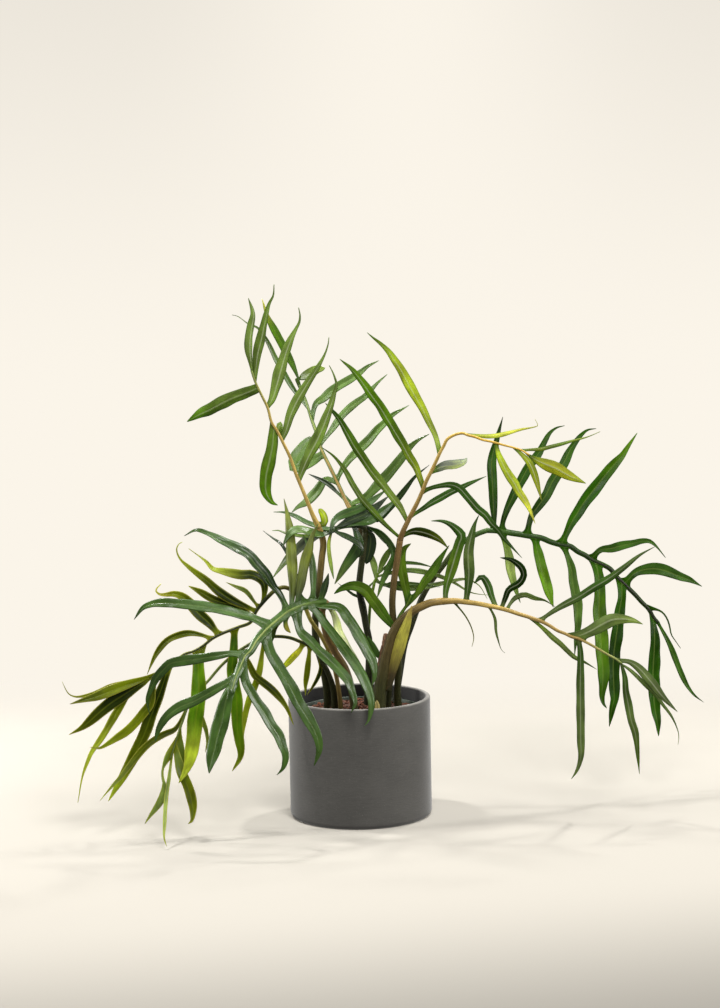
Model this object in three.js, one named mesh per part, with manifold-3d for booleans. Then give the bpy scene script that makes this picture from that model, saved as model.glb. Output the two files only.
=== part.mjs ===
// A potted fern-leaf philodendron: a straight-sided stoneware planter with a plastic nursery pot of
// bark mix inside, and eleven deeply cut leaves on long stalks that arch out of it.
// Millimetres, +Z up, the planter's base centre at the origin, the front towards -Y.

import * as THREE from "three";
import { mergeVertices } from "three/addons/utils/BufferGeometryUtils.js";
import Module from "manifold-3d";

const wasm = await Module();
wasm.setup();

// Planter
const PLANTER_RADIUS = 95;
const PLANTER_HEIGHT = 160;
const PLANTER_WALL = 6.5;
const PLANTER_FLOOR = 9;
const PLANTER_FOOT_ROUND = 7;
const PLANTER_LIP_ROUND = 2.4;
const ROUND_SIDES = 48;

// Nursery pot, standing on the planter's floor
const NURSERY_RIM_RADIUS = 82;
const NURSERY_FOOT_RADIUS = 64;
const NURSERY_RIM_Z = 144;
const NURSERY_WALL = 1.8;
const NURSERY_RIM_DEPTH = 9;
const NURSERY_RIM_STEP = 2;
const DRAIN_HOLES = 4;
const DRAIN_RADIUS = 5;
const DRAIN_CIRCLE = 38;

// Bark mix
const SOIL_EDGE_Z = 141;
const SOIL_MIDDLE_Z = 147;
const ROOT_DEPTH = 24;

// Parts that touch keep this gap
const GAP = 0.3;

// Leaf thicknesses and facets
const LOBE_FACES = new THREE.Vector3(0, -1, 0.6);
const LOBE_THICKNESS = 2;
const LOBE_STEP = 34;
const LOBE_STEPS = [3, 5];
const STALK_SIDES = 6;
const RACHIS_SIDES = 5;
const STALK_STEP = 28;
const RACHIS_STEP = 28;

// Every leaf line is drawn on the upright plane y = 0 as seen from EYE, and then moved to its real
// depth along the line of sight, so a drawing point is [x, z] and a depth is the real y.
// The photograph leans a little, so the drawing is turned upright and set on the planter first.
const EYE = new THREE.Vector3(6, -3000, 740);
const LEAN = THREE.MathUtils.degToRad(1.08);
const DRAWING_SHIFT = [0.1, -4];

function place([x, z], depth) {
  const uprightX = x * Math.cos(LEAN) + z * Math.sin(LEAN) + DRAWING_SHIFT[0];
  const uprightZ = z * Math.cos(LEAN) - x * Math.sin(LEAN) + DRAWING_SHIFT[1];
  const share = 1 - depth / EYE.y;
  return new THREE.Vector3(
    EYE.x + (uprightX - EYE.x) * share,
    depth,
    EYE.z + (uprightZ - EYE.z) * share,
  );
}

// A leaf's stalk and rachis give their widths and depths at both ends.
// A lobe is [width, how far its tip leans back, point, point, ...], from its foot to its tip.
const LEAVES = {
  upper_left: {
    colour: 0x4a7350,
    stalk: {
      widths: [9, 8],
      depths: [-2, -35],
      line: [[-45, 150], [-46, 170], [-52, 205], [-60, 235], [-62, 262], [-60, 285], [-57, 310],
        [-53, 350], [-52, 372], [-57, 391]],
    },
    rachis: {
      widths: [6, 3],
      depths: [-36, -110],
      line: [[-57, 392], [-64, 405], [-80, 445], [-95, 485], [-112, 520], [-124, 550], [-145, 599]],
    },
    lobes: [
      [10, 20, [-145, 598], [-147, 640], [-142, 675], [-149, 695]],
      [12, -20, [-140, 592], [-131, 645], [-121, 688], [-115, 713]],
      [17, 60, [-137, 577], [-150, 571], [-200, 548], [-231, 532]],
      [15, 30, [-125, 552], [-118, 562], [-99, 625], [-82, 663], [-83, 683]],
      [13, 36, [-105, 508], [-94, 540], [-62, 597], [-47, 625], [-43, 644]],
      [15, 24, [-83, 455], [-68, 490], [-40, 555], [-33, 580], [-43, 607]],
      [17, 50, [-116, 525], [-122, 480], [-127, 440], [-111, 421]],
      [10, -8, [-57, 392], [-49, 396], [-50, 406], [-57, 416]],
    ],
  },
  upper_back: {
    colour: 0x335c3c,
    stalk: {
      widths: [8, 7],
      depths: [20, 26],
      line: [[8, 150], [10, 240], [5, 265], [-2, 300], [-1, 335], [3, 366], [-3, 395], [-13, 413]],
    },
    rachis: {
      widths: [6, 3],
      depths: [26, 110],
      line: [[-14, 414], [-27, 440], [-42, 472], [-60, 518], [-74, 560], [-86, 588]],
    },
    lobes: [
      [11, -20, [-84, 588], [-97, 620], [-118, 660], [-131, 694]],
      [8, 40, [-75, 555], [-100, 592], [-120, 630], [-149, 661], [-171, 673]],
      [13, -30, [-84, 588], [-75, 592], [-65, 598], [-48, 603]],
      [12, -40, [-66, 540], [-50, 563], [-20, 585], [8, 605], [23, 613]],
      [10, -40, [-54, 502], [-25, 540], [-5, 558], [34, 595]],
      [12, -30, [-34, 455], [-18, 480], [22, 522], [50, 547], [63, 554]],
      [14, -12, [-19, 423], [5, 432], [35, 462], [62, 496], [90, 516]],
      [9, -6, [-22, 430], [1, 411], [20, 402], [50, 432], [90, 475]],
      [18, 30, [-50, 490], [-88, 472], [-80, 495], [-67, 513]],
      [13, 20, [-33, 452], [-47, 455], [-73, 425], [-93, 411]],
      [6, 10, [-22, 430], [-30, 437], [-60, 458], [-71, 463]],
    ],
  },
  centre_dark: {
    colour: 0x23452c,
    stalk: {
      widths: [8, 7],
      depths: [2, 0],
      line: [[8, 150], [10, 240], [5, 265], [-2, 300], [-1, 335], [3, 366], [5, 384]],
    },
    rachis: {
      widths: [9, 5],
      depths: [0, -44],
      line: [[5, 385], [4, 392], [-10, 394], [-25, 392], [-41, 386]],
    },
    lobes: [
      [12, -8, [-41, 386], [-55, 381], [-80, 387], [-97, 380], [-106, 364]],
      [9, 58, [-41, 387], [-35, 402], [0, 418], [35, 443]],
      [9, 56, [-38, 387], [10, 412], [38, 435]],
      [9, 40, [-25, 391], [12, 401], [50, 432]],
      [7, 20, [-24, 392], [-45, 388], [-62, 393], [-87, 405], [-117, 412]],
      [14, 16, [-24, 392], [-44, 384], [-60, 378], [-90, 355], [-118, 324]],
      [5, 12, [-24, 392], [-48, 382], [-75, 379], [-100, 383], [-119, 387]],
      [8, 12, [-38, 387], [-12, 374], [0, 362], [-6, 350]],
      [14, -4, [-10, 393], [-5, 372], [-17, 348], [-36, 315]],
      [5, 2, [-41, 386], [-44, 360], [-41, 340], [-37, 322]],
      [8, 5, [5, 388], [25, 378], [37, 365]],
    ],
  },
  centre_small: {
    colour: 0x4d7a4f,
    stalk: {
      widths: [4, 4],
      depths: [10, 10],
      line: [[14, 150], [12, 200], [9, 240], [10, 265], [12, 290], [17, 317]],
    },
    rachis: {
      widths: [5, 4],
      depths: [10, 9],
      line: [[17, 318], [20, 324], [22, 330]],
    },
    lobes: [
      [9, 0, [18, 322], [17, 340], [8, 366]],
      [9, -2, [22, 328], [30, 348], [43, 370]],
      [7, 0, [18, 320], [30, 313], [60, 316], [105, 311]],
      [4, 0, [18, 321], [8, 310], [-5, 299], [-20, 308], [-32, 317]],
      [5, 4, [22, 328], [36, 341], [52, 344], [98, 337]],
    ],
  },
  centre_low: {
    colour: 0x2c5633,
    stalk: {
      widths: [6, 7],
      depths: [-8, -14],
      line: [[36, 150], [40, 200], [45, 250]],
    },
    rachis: {
      widths: [7, 5],
      depths: [-14, -12],
      line: [[45, 251], [50, 270], [62, 290], [66, 300]],
    },
    lobes: [
      [15, -2, [45, 252], [25, 280], [5, 307], [-10, 313], [-37, 302]],
      [13, 12, [63, 291], [57, 320], [53, 348], [66, 370]],
      [12, 14, [63, 291], [72, 300], [95, 333], [117, 368]],
    ],
  },
  centre_arch: {
    colour: 0x5d8a4a,
    stalk: {
      widths: [8, 7],
      depths: [8, -20],
      line: [[49, 150], [49, 190], [49, 220], [45, 245], [41, 289], [43, 317], [47, 345], [51, 373]],
    },
    rachis: {
      widths: [7, 3],
      depths: [-20, -110],
      line: [[51, 374], [62, 400], [81, 440], [100, 482], [113, 508], [135, 516.5], [160, 508],
        [200, 498], [222, 488]],
    },
    lobes: [
      [8, 16, [51, 376], [30, 396], [0, 429], [-20, 463], [-54, 499]],
      [11, 20, [61, 400], [40, 432], [0, 485], [-30, 535], [-48, 557]],
      [12, 36, [82, 446], [62, 487], [36, 532], [-5, 592], [-29, 615]],
      [13, 40, [104, 492], [88, 533], [52, 600], [25, 635], [7, 650]],
      [9, 40, [66, 408], [93, 424], [131, 444], [166, 460]],
      [10, -30, [80, 438], [100, 446], [129, 444], [164, 408], [214, 350]],
      [12, 10, [93, 467], [110, 473], [125, 474], [140, 484]],
      [6, 30, [141, 514], [184, 515], [222, 528], [229, 536]],
      [11, -30, [178, 503], [190, 470], [215, 430], [231, 396]],
      [9, -40, [205, 496], [222, 478], [233, 450], [239, 427]],
      [17, -10, [221, 488], [245, 475], [270, 463], [298, 450]],
      [5, 30, [212, 494], [238, 496], [281, 507], [316, 519]],
    ],
  },
  right_arch: {
    colour: 0x4f7a45,
    stalk: {
      widths: [14, 9],
      depths: [-26, -26],
      line: [[22, 150], [25, 175], [33, 215], [38, 235], [50, 262], [70, 280], [92, 290], [107, 292]],
    },
    rachis: {
      widths: [8, 3],
      depths: [-26, -95],
      line: [[108, 292], [140, 291], [180, 284], [220, 272], [262, 252.5], [300, 237], [348, 208.5]],
    },
    lobes: [
      [14, 6, [109, 293], [118, 330], [133, 378], [115, 397], [92, 400]],
      [14, -30, [139, 293], [143, 330], [146, 380], [156, 408]],
      [9, -30, [188, 282], [196, 307], [216, 327], [199, 348], [184, 351]],
      [10, -50, [237, 265], [266, 285], [330, 323], [391, 366]],
      [7, 14, [192, 281], [205, 297], [230, 295], [258, 285]],
      [17, -50, [285, 243], [310, 254], [350, 268], [376, 261]],
      [11, 30, [290, 241], [293, 180], [295, 85], [282, 50]],
      [7, 30, [228, 269], [255, 243], [285, 216], [315, 200]],
      [12, -30, [342, 211], [369, 203.5], [400, 167], [424, 142]],
      [6, -10, [346, 209], [379, 180.5], [415, 137.5], [425, 97]],
      [10, 30, [346, 209], [352, 190], [362, 130], [374, 57]],
      [4, 20, [170, 286], [179, 255], [192, 222]],
      [4, 20, [124, 291], [139, 271], [150, 242], [147, 230]],
      [9, 16, [180, 284], [168, 315], [160, 325], [150, 316]],
    ],
  },
  right_back: {
    colour: 0x2f5a38,
    stalk: {
      widths: [8, 6],
      depths: [34, 60],
      line: [[45, 150], [52, 200], [66, 258], [82, 300], [110, 342], [140, 375], [166, 387]],
    },
    rachis: {
      widths: [7, 3],
      depths: [60, 130],
      line: [[167, 387], [212, 382], [252, 372], [288, 359], [331, 336], [359, 307], [396, 263]],
    },
    lobes: [
      [13, 60, [176, 387], [174, 440], [174, 490], [187, 539]],
      [13, 60, [184, 386], [206, 444], [236, 493], [269, 527]],
      [14, 60, [220, 381], [244, 434], [276, 494], [311, 523]],
      [17, 60, [266, 368], [296, 426], [345, 487], [365, 517]],
      [12, 30, [308, 350], [332, 363], [372, 373], [405, 350]],
      [16, 30, [350, 316], [378, 335], [413, 330], [454, 312]],
      [3, 0, [380, 284], [407, 270], [420, 238], [427, 228]],
      [8, 20, [396, 264], [414, 228], [431, 187], [459, 155]],
      [12, -30, [186, 386], [196, 350], [202, 318], [212, 290]],
      [14, -40, [230, 378], [240, 335], [251, 298], [256, 284]],
      [13, -45, [270, 366], [281, 318], [288, 255], [285, 218]],
      [18, -50, [312, 346], [317, 300], [323, 180], [329, 147]],
      [16, -45, [347, 318], [342, 262], [338, 172], [332, 122]],
      [16, -35, [390, 270], [390, 205], [392, 155], [399, 109]],
    ],
  },
  front_left: {
    colour: 0x3c6b4c,
    stalk: {
      widths: [8, 8],
      depths: [-48, -61],
      line: [[-10, 150], [-15, 180], [-22, 202], [-36, 225], [-46, 245], [-53, 275], [-48, 290]],
    },
    rachis: {
      widths: [8, 5],
      depths: [-62, -200],
      line: [[-49, 291.5], [-66, 290], [-100, 277], [-133, 248], [-155, 219], [-170, 184], [-173, 173]],
    },
    lobes: [
      [14, -22, [-50, 291], [-28, 283], [0, 237], [17, 198], [14, 178]],
      [13, -42, [-60, 290], [-30, 236], [5, 180], [13, 150], [4, 123]],
      [13, -26, [-88, 282], [-55, 223], [-19, 185], [-14, 141]],
      [16, -10, [-131, 250], [-102, 188], [-62, 115], [-57, 90], [-64, 68]],
      [13, 8, [-162, 205], [-148, 168], [-112, 110], [-114, 56]],
      [20, -25, [-173, 176], [-184, 145], [-198, 90], [-205, 58]],
      [13, -8, [-172, 182], [-224, 157], [-270, 123], [-277, 101]],
      [13, 10, [-155, 219], [-215, 215], [-265, 200], [-284, 138]],
      [13, 30, [-123, 258], [-179, 279], [-247, 289], [-304, 267]],
      [13, 44, [-92, 281], [-130, 328], [-185, 371], [-236, 380]],
      [14, 80, [-93, 281], [-94, 350], [-96, 385], [-103, 430]],
      [13, 26, [-86, 284], [-80, 325], [-71, 362], [-57, 397]],
      [9, 20, [-63, 290], [-65, 335], [-72, 368], [-78, 382]],
      [9, 6, [-54, 291], [-50, 308], [-44, 330]],
      [5, 60, [-80, 286], [-90, 335], [-108, 370], [-131, 387]],
      [10, 8, [-46, 294], [-39, 284], [-34, 266], [-22, 235], [3, 200]],
      [9, 14, [-112, 268], [-118, 258], [-125, 232]],
    ],
  },
  left_olive: {
    colour: 0x6f8438,
    stalk: {
      widths: [5, 5],
      depths: [-30, -50],
      line: [[-28, 150], [-31, 175], [-37, 205], [-46, 230], [-62, 262], [-76, 292], [-103, 311],
        [-126, 297]],
    },
    rachis: {
      widths: [5, 3],
      depths: [-50, -92],
      line: [[-127, 296], [-140, 280], [-165, 257], [-199, 242], [-236, 221], [-265, 200], [-284, 188]],
    },
    lobes: [
      [14, -30, [-284, 188], [-325, 175], [-370, 159], [-391, 153]],
      [7, 0, [-284, 188], [-335, 177], [-372, 164], [-401, 184]],
      [17, -24, [-284, 188], [-318, 166], [-350, 143], [-393, 111]],
      [10, -30, [-284, 187], [-323, 150], [-362, 88], [-382, 18]],
      [12, -34, [-282, 187], [-283, 155], [-315, 116], [-342, 98], [-365, 94.5]],
      [15, -24, [-258, 205], [-277, 150], [-313, 68], [-341, 20]],
      [9, 30, [-200, 242], [-230, 249], [-268, 230], [-287, 193]],
      [15, 40, [-190, 246], [-217, 275], [-250, 302], [-267, 316]],
      [12, 20, [-140, 280], [-191, 306], [-232, 340], [-238, 372]],
      [13, 12, [-127, 296], [-145, 326], [-188, 332], [-230, 363]],
      [11, 22, [-147, 273], [-185, 290], [-231, 313]],
      [6, 30, [-140, 282], [-154, 305], [-181, 318]],
      [20, -50, [-215, 234], [-218, 170], [-225, 110], [-246, 45]],
      [15, -22, [-170, 254], [-173, 200], [-165, 110], [-174, 61]],
    ],
  },
  lowest_left: {
    colour: 0x5f7d3d,
    stalk: {
      widths: [7, 6],
      depths: [-15, -22],
      line: [[-36, 150], [-38, 175], [-46, 198], [-51, 207]],
    },
    rachis: {
      widths: [6, 4],
      depths: [-22, -96],
      line: [[-52, 208], [-80, 237], [-130, 243], [-185, 208], [-228, 160], [-246, 112], [-257, 78]],
    },
    lobes: [
      [11, -40, [-257, 80], [-267, 50], [-276, 12], [-292, -11]],
      [5, -84, [-256, 80], [-262, 30], [-266, -30], [-263, -42]],
      [13, -10, [-246, 112], [-244, 88], [-240, 58]],
      [13, -50, [-251, 96], [-235, 45], [-227, 2], [-234, -11]],
      [6, -14, [-226, 165], [-212, 128], [-210, 86]],
      [9, -56, [-236, 145], [-280, 103], [-314, 66], [-352, 21]],
      [9, -10, [-130, 243], [-144, 175], [-158, 125], [-161, 85]],
      [10, 0, [-160, 226], [-133, 183], [-105, 155], [-91, 124]],
      [9, -10, [-78, 235], [-84, 225], [-112, 196]],
      [8, -2, [-70, 228], [-72, 205], [-75, 164]],
      [5, 0, [-56, 212], [-60, 186], [-73, 165]],
    ],
  },
};

// Meshes and solids

// One closed body from a row of rings with equal numbers of corners, with flat ends.
function loft(rings) {
  const sides = rings[0].length;
  const corners = rings.flat();
  const faces = [];
  for (let r = 0; r + 1 < rings.length; r += 1) {
    for (let s = 0; s < sides; s += 1) {
      const a = r * sides + s;
      const b = r * sides + (s + 1) % sides;
      faces.push(a, b, b + sides, a, b + sides, a + sides);
    }
  }
  const last = (rings.length - 1) * sides;
  for (let s = 1; s + 1 < sides; s += 1) {
    faces.push(0, s + 1, s, last, last + s, last + s + 1);
  }
  const geometry = new THREE.BufferGeometry().setFromPoints(corners);
  geometry.setIndex(faces);
  return facingOut(geometry);
}

function facingOut(geometry) {
  const p = geometry.attributes.position;
  const index = geometry.index.array;
  const [a, b, c] = [new THREE.Vector3(), new THREE.Vector3(), new THREE.Vector3()];
  let volume = 0;
  for (let i = 0; i < index.length; i += 3) {
    a.fromBufferAttribute(p, index[i]);
    b.fromBufferAttribute(p, index[i + 1]);
    c.fromBufferAttribute(p, index[i + 2]);
    volume += a.dot(b.cross(c));
  }
  if (volume < 0) {
    index.reverse();
  }
  return geometry;
}

function solid(geometry) {
  const bare = geometry.clone();
  bare.deleteAttribute("normal");
  bare.deleteAttribute("uv");
  const merged = mergeVertices(bare, 1e-4);
  return new wasm.Manifold(new wasm.Mesh({
    numProp: 3,
    vertProperties: new Float32Array(merged.attributes.position.array),
    triVerts: new Uint32Array(merged.index.array),
  }));
}

function geometryOf(manifold) {
  const mesh = manifold.getMesh();
  const geometry = new THREE.BufferGeometry();
  geometry.setAttribute("position", new THREE.BufferAttribute(mesh.vertProperties, 3));
  geometry.setIndex(new THREE.BufferAttribute(mesh.triVerts, 1));
  return geometry;
}

// Stalks, rachises and lobes

// A smooth line through drawing points, its depth running evenly from one end to the other.
function lineThrough(points, [from, to]) {
  const lengths = [0];
  for (let i = 1; i < points.length; i += 1) {
    const [x0, z0] = points[i - 1];
    const [x1, z1] = points[i];
    lengths.push(lengths[i - 1] + Math.hypot(x1 - x0, z1 - z0));
  }
  const whole = lengths.at(-1);
  const placed = points.map((p, i) => place(p, from + (to - from) * lengths[i] / whole));
  return new THREE.CatmullRomCurve3(placed, false, "centripetal");
}

function tube(curve, [from, to], sides, step, grow = 0) {
  const steps = Math.max(2, Math.round(curve.getLength() / step));
  const frames = curve.computeFrenetFrames(steps, false);
  const rings = [];
  for (let i = 0; i <= steps; i += 1) {
    const centre = curve.getPointAt(i / steps);
    const radius = (from + (to - from) * i / steps) / 2 + grow;
    const ring = [];
    for (let s = 0; s < sides; s += 1) {
      const angle = 2 * Math.PI * s / sides;
      ring.push(centre.clone()
        .addScaledVector(frames.normals[i], radius * Math.cos(angle))
        .addScaledVector(frames.binormals[i], radius * Math.sin(angle)));
    }
    rings.push(ring);
  }
  return loft(rings);
}

// Half a lobe's width, as a share of its widest, from its foot (0) to its tip (1).
function lobeShape(t) {
  const swell = 0.75 + 0.25 * Math.sin(Math.PI * Math.min(1, t / 0.8));
  const taper = Math.min(1, Math.sqrt((1.02 - t) / 0.6));
  return swell * taper;
}

// A lobe is a thin blade of diamond section that faces the front and a little upwards.
function lobe(curve, width) {
  const steps = THREE.MathUtils.clamp(Math.round(curve.getLength() / LOBE_STEP), ...LOBE_STEPS);
  const rings = [];
  for (let i = 0; i <= steps; i += 1) {
    const t = i / steps;
    const centre = curve.getPointAt(t);
    const along = curve.getTangentAt(t);
    const across = new THREE.Vector3().crossVectors(along, LOBE_FACES).normalize();
    const up = new THREE.Vector3().crossVectors(across, along).normalize();
    const half = width / 2 * lobeShape(t);
    const thick = LOBE_THICKNESS / 2 * Math.min(1, 0.3 + 1.4 * (1 - t));
    rings.push([
      centre.clone().addScaledVector(across, half),
      centre.clone().addScaledVector(up, thick),
      centre.clone().addScaledVector(across, -half),
      centre.clone().addScaledVector(up, -thick),
    ]);
  }
  return loft(rings);
}

// The real depth of a line where it passes nearest to a drawing point.
function depthNear(curve, point) {
  const steps = 200;
  let [nearest, depth] = [Infinity, 0];
  for (let i = 0; i <= steps; i += 1) {
    const p = curve.getPoint(i / steps);
    const away = p.distanceTo(place(point, p.y));
    if (away < nearest) {
      [nearest, depth] = [away, p.y];
    }
  }
  return depth;
}

function stalkLine({ depths, line }) {
  const [x, z] = line[0];
  return lineThrough([[x, z - ROOT_DEPTH], ...line], depths);
}

function stalkSolid(stalk, grow = 0) {
  return solid(tube(stalkLine(stalk), stalk.widths, STALK_SIDES, STALK_STEP, grow));
}

function bladeSolid({ stalk, rachis, lobes }) {
  const spine = lineThrough(rachis.line, rachis.depths);
  let blade = solid(tube(spine, rachis.widths, RACHIS_SIDES, RACHIS_STEP));
  for (const [width, lean, ...points] of lobes) {
    const foot = depthNear(spine, points[0]);
    blade = blade.add(solid(lobe(lineThrough(points, [foot, foot + lean]), width)));
  }
  return blade.subtract(stalkSolid(stalk, GAP));
}

// Planter, nursery pot and soil

function turned(profile) {
  const points = profile.map(([r, z]) => new THREE.Vector2(r, z));
  return new THREE.LatheGeometry(points, ROUND_SIDES).rotateX(Math.PI / 2);
}

function arc(cx, cz, radius, from, to, steps) {
  const points = [];
  for (let i = 0; i <= steps; i += 1) {
    const angle = (from + (to - from) * i / steps) * Math.PI / 180;
    points.push([cx + radius * Math.cos(angle), cz + radius * Math.sin(angle)]);
  }
  return points;
}

function planter() {
  const inner = PLANTER_RADIUS - PLANTER_WALL;
  const lip = PLANTER_LIP_ROUND;
  return turned([
    [0, 0],
    ...arc(PLANTER_RADIUS - PLANTER_FOOT_ROUND, PLANTER_FOOT_ROUND, PLANTER_FOOT_ROUND, -90, 0, 4),
    ...arc(PLANTER_RADIUS - lip, PLANTER_HEIGHT - lip, lip, 0, 90, 2),
    ...arc(inner + lip, PLANTER_HEIGHT - lip, lip, 90, 180, 2),
    [inner, PLANTER_FLOOR],
    [0, PLANTER_FLOOR],
  ]);
}

function nurseryPot() {
  const foot = PLANTER_FLOOR + GAP;
  const collarZ = NURSERY_RIM_Z - NURSERY_RIM_DEPTH;
  const collar = NURSERY_RIM_RADIUS - NURSERY_RIM_STEP;
  let pot = solid(turned([
    [0, foot],
    [NURSERY_FOOT_RADIUS, foot],
    [collar, collarZ],
    [NURSERY_RIM_RADIUS, collarZ],
    [NURSERY_RIM_RADIUS, NURSERY_RIM_Z],
    [collar - NURSERY_WALL, NURSERY_RIM_Z],
    [NURSERY_FOOT_RADIUS - NURSERY_WALL, foot + NURSERY_WALL],
    [0, foot + NURSERY_WALL],
  ]));
  for (let i = 0; i < DRAIN_HOLES; i += 1) {
    const angle = 2 * Math.PI * i / DRAIN_HOLES;
    const hole = new THREE.CylinderGeometry(DRAIN_RADIUS, DRAIN_RADIUS, 4 * NURSERY_WALL, 12)
      .rotateX(Math.PI / 2)
      .translate(DRAIN_CIRCLE * Math.cos(angle), DRAIN_CIRCLE * Math.sin(angle), foot);
    pot = pot.subtract(solid(hole));
  }
  return geometryOf(pot);
}

// The bark mix fills the nursery pot to a low mound, with a hole for whatever stands in it.
function soil(standing) {
  const foot = PLANTER_FLOOR + 2 * GAP + NURSERY_WALL;
  const topRadius = NURSERY_RIM_RADIUS - NURSERY_RIM_STEP - NURSERY_WALL;
  const footRadius = NURSERY_FOOT_RADIUS - NURSERY_WALL;
  const lean = (topRadius - footRadius) / (NURSERY_RIM_Z - foot);
  const edgeRadius = footRadius + lean * (SOIL_EDGE_Z - foot) - 2 * GAP;
  let mix = solid(turned([
    [0, foot],
    [footRadius - 2 * GAP, foot],
    [edgeRadius, SOIL_EDGE_Z],
    [edgeRadius * 0.7, SOIL_EDGE_Z + 0.55 * (SOIL_MIDDLE_Z - SOIL_EDGE_Z)],
    [edgeRadius * 0.3, SOIL_MIDDLE_Z],
    [0, SOIL_MIDDLE_Z],
  ]));
  for (const grown of standing) {
    mix = mix.subtract(grown);
  }
  return geometryOf(mix);
}

// Small pieces: the bark-covered main stem, the right stalk's sheath and a dry sheath stub

const MAIN_STEM = {
  widths: [9, 7],
  depths: [0, -2],
  line: [[21, 150], [23, 185], [26, 215], [31, 236], [33, 248]],
};
const STEM_SCALE = { width: 10, depths: [-2, -14], line: [[27, 214], [18, 226], [8, 245]] };
const SHEATH = {
  width: 14,
  depths: [-33, -36],
  line: [[42, 200], [47, 216], [55, 238], [67, 262], [67, 284]],
};
const STUB = { widths: [5, 1.5], depths: [-42, -43], line: [[21, 150], [20, 158]] };

function mainStem() {
  const scale = lobe(lineThrough(STEM_SCALE.line, STEM_SCALE.depths), STEM_SCALE.width);
  return stalkSolid(MAIN_STEM).add(solid(scale));
}

function sheath() {
  const flap = lobe(lineThrough(SHEATH.line, SHEATH.depths), SHEATH.width);
  return solid(flap).subtract(stalkSolid(LEAVES.right_arch.stalk, GAP));
}

// The whole plant

function material(color, roughness) {
  return new THREE.MeshStandardMaterial({ color, roughness, metalness: 0 });
}

const STONEWARE = material(0x4b4a46, 0.75);
const POT_PLASTIC = material(0x5c665c, 0.6);
const BARK_MIX = material(0x6b3b22, 0.95);
const STALK_SKIN = material(0x4a3a24, 0.55);
const RUSTY_BARK = material(0x7a4630, 0.9);
const DRY_SHEATH = material(0xb3a045, 0.6);

const plant = new THREE.Group();

function add(name, geometry, skin) {
  const mesh = new THREE.Mesh(geometry, skin);
  mesh.name = name;
  plant.add(mesh);
}

const stalks = Object.values(LEAVES).map((leaf) => leaf.stalk);
const standing = [...stalks, MAIN_STEM, STUB].map((stalk) => stalkSolid(stalk, GAP));

add("planter", planter(), STONEWARE);
add("nursery_pot", nurseryPot(), POT_PLASTIC);
add("bark_mix", soil(standing), BARK_MIX);
add("main_stem", geometryOf(mainStem()), RUSTY_BARK);
add("right_arch_sheath", geometryOf(sheath()), DRY_SHEATH);
add("dry_sheath_stub", geometryOf(stalkSolid(STUB)), DRY_SHEATH);
for (const [name, leaf] of Object.entries(LEAVES)) {
  add(`${name}_stalk`, geometryOf(stalkSolid(leaf.stalk)), STALK_SKIN);
  add(`${name}_leaf`, geometryOf(bladeSolid(leaf)), material(leaf.colour, 0.5));
}

export default plant;
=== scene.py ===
"""A potted fern-leaf philodendron, built round its CAD frame.

Eleven deeply cut leaves on long stalks stand in bark mix, in a nursery pot inside a stoneware planter.
Each leaf is one connected sheet: lobes that grow out of a narrow wing along a rachis.
Shapes are worked out in millimetres and written to the meshes in metres.
"""
import math
from random import Random

import bpy
import numpy as np
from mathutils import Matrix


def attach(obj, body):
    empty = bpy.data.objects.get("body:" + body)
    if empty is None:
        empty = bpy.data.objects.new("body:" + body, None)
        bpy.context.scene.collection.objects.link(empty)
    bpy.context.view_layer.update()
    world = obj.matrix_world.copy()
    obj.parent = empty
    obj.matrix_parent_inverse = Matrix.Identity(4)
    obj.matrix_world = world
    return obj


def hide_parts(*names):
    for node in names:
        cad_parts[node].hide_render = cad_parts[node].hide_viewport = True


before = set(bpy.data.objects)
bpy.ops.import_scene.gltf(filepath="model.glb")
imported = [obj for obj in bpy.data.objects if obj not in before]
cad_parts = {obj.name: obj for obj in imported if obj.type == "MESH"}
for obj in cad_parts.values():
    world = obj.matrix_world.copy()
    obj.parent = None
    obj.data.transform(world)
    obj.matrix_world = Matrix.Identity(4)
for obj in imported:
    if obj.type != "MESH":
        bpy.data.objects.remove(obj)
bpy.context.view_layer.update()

MM = 0.001

# The camera: 3 m in front, 740 mm up, looking down a little, and rolled a little.
EYE = np.array((6.0, -3000.0, 740.0))
LOOK_DOWN_DEG = 6.115
LEAN_DEG = 1.08
DRAWING_SHIFT = (0.1, -4.0)
LENS_MM = 81.17
SENSOR_MM = 36.0

# Planter, nursery pot and bark mix, as in the CAD
PLANTER_RADIUS = 95.0
PLANTER_HEIGHT = 160.0
PLANTER_WALL = 6.5
PLANTER_FLOOR = 9.0
PLANTER_FOOT_ROUND = 7.0
PLANTER_LIP_ROUND = 2.4
NURSERY_RIM_RADIUS = 82.0
NURSERY_FOOT_RADIUS = 64.0
NURSERY_RIM_Z = 144.0
NURSERY_WALL = 1.8
NURSERY_RIM_DEPTH = 9.0
NURSERY_RIM_STEP = 2.0
POT_GAP = 0.3
SOIL_EDGE_Z = 141.0
SOIL_MIDDLE_Z = 147.0
SOIL_GAP = 1.5
SOIL_RADIUS = NURSERY_RIM_RADIUS - NURSERY_RIM_STEP - NURSERY_WALL - SOIL_GAP
CHIPS_RISE = 1.5
ROOT_DEPTH = 24.0
ROUND_SIDES = 160
LUMPS = 160
CHIPS = 520
CHIP_SIDES = 6

# Leaves
SHEET_THICKNESS = 0.7
STRIP_THICKNESS = 0.8
STUB_THICKNESS = 0.6
LOBE_PITCH = 3.4
LOBE_ROWS = (10, 60)
ROW_CROWDING = 0.62
FOLD_EASE = 0.12
FOOT_ROOM = 4
FOOT_ROUNDS = 200
STRIP_PITCH = 2.5
LOBE_FACES = np.array((0.0, -1.0, 0.6))
TUBE_SIDES = 12
TUBE_PITCH = 3.0
TUBE_GLOSS = 0.4
LEAF_BRIGHTNESS = 1.42
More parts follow.
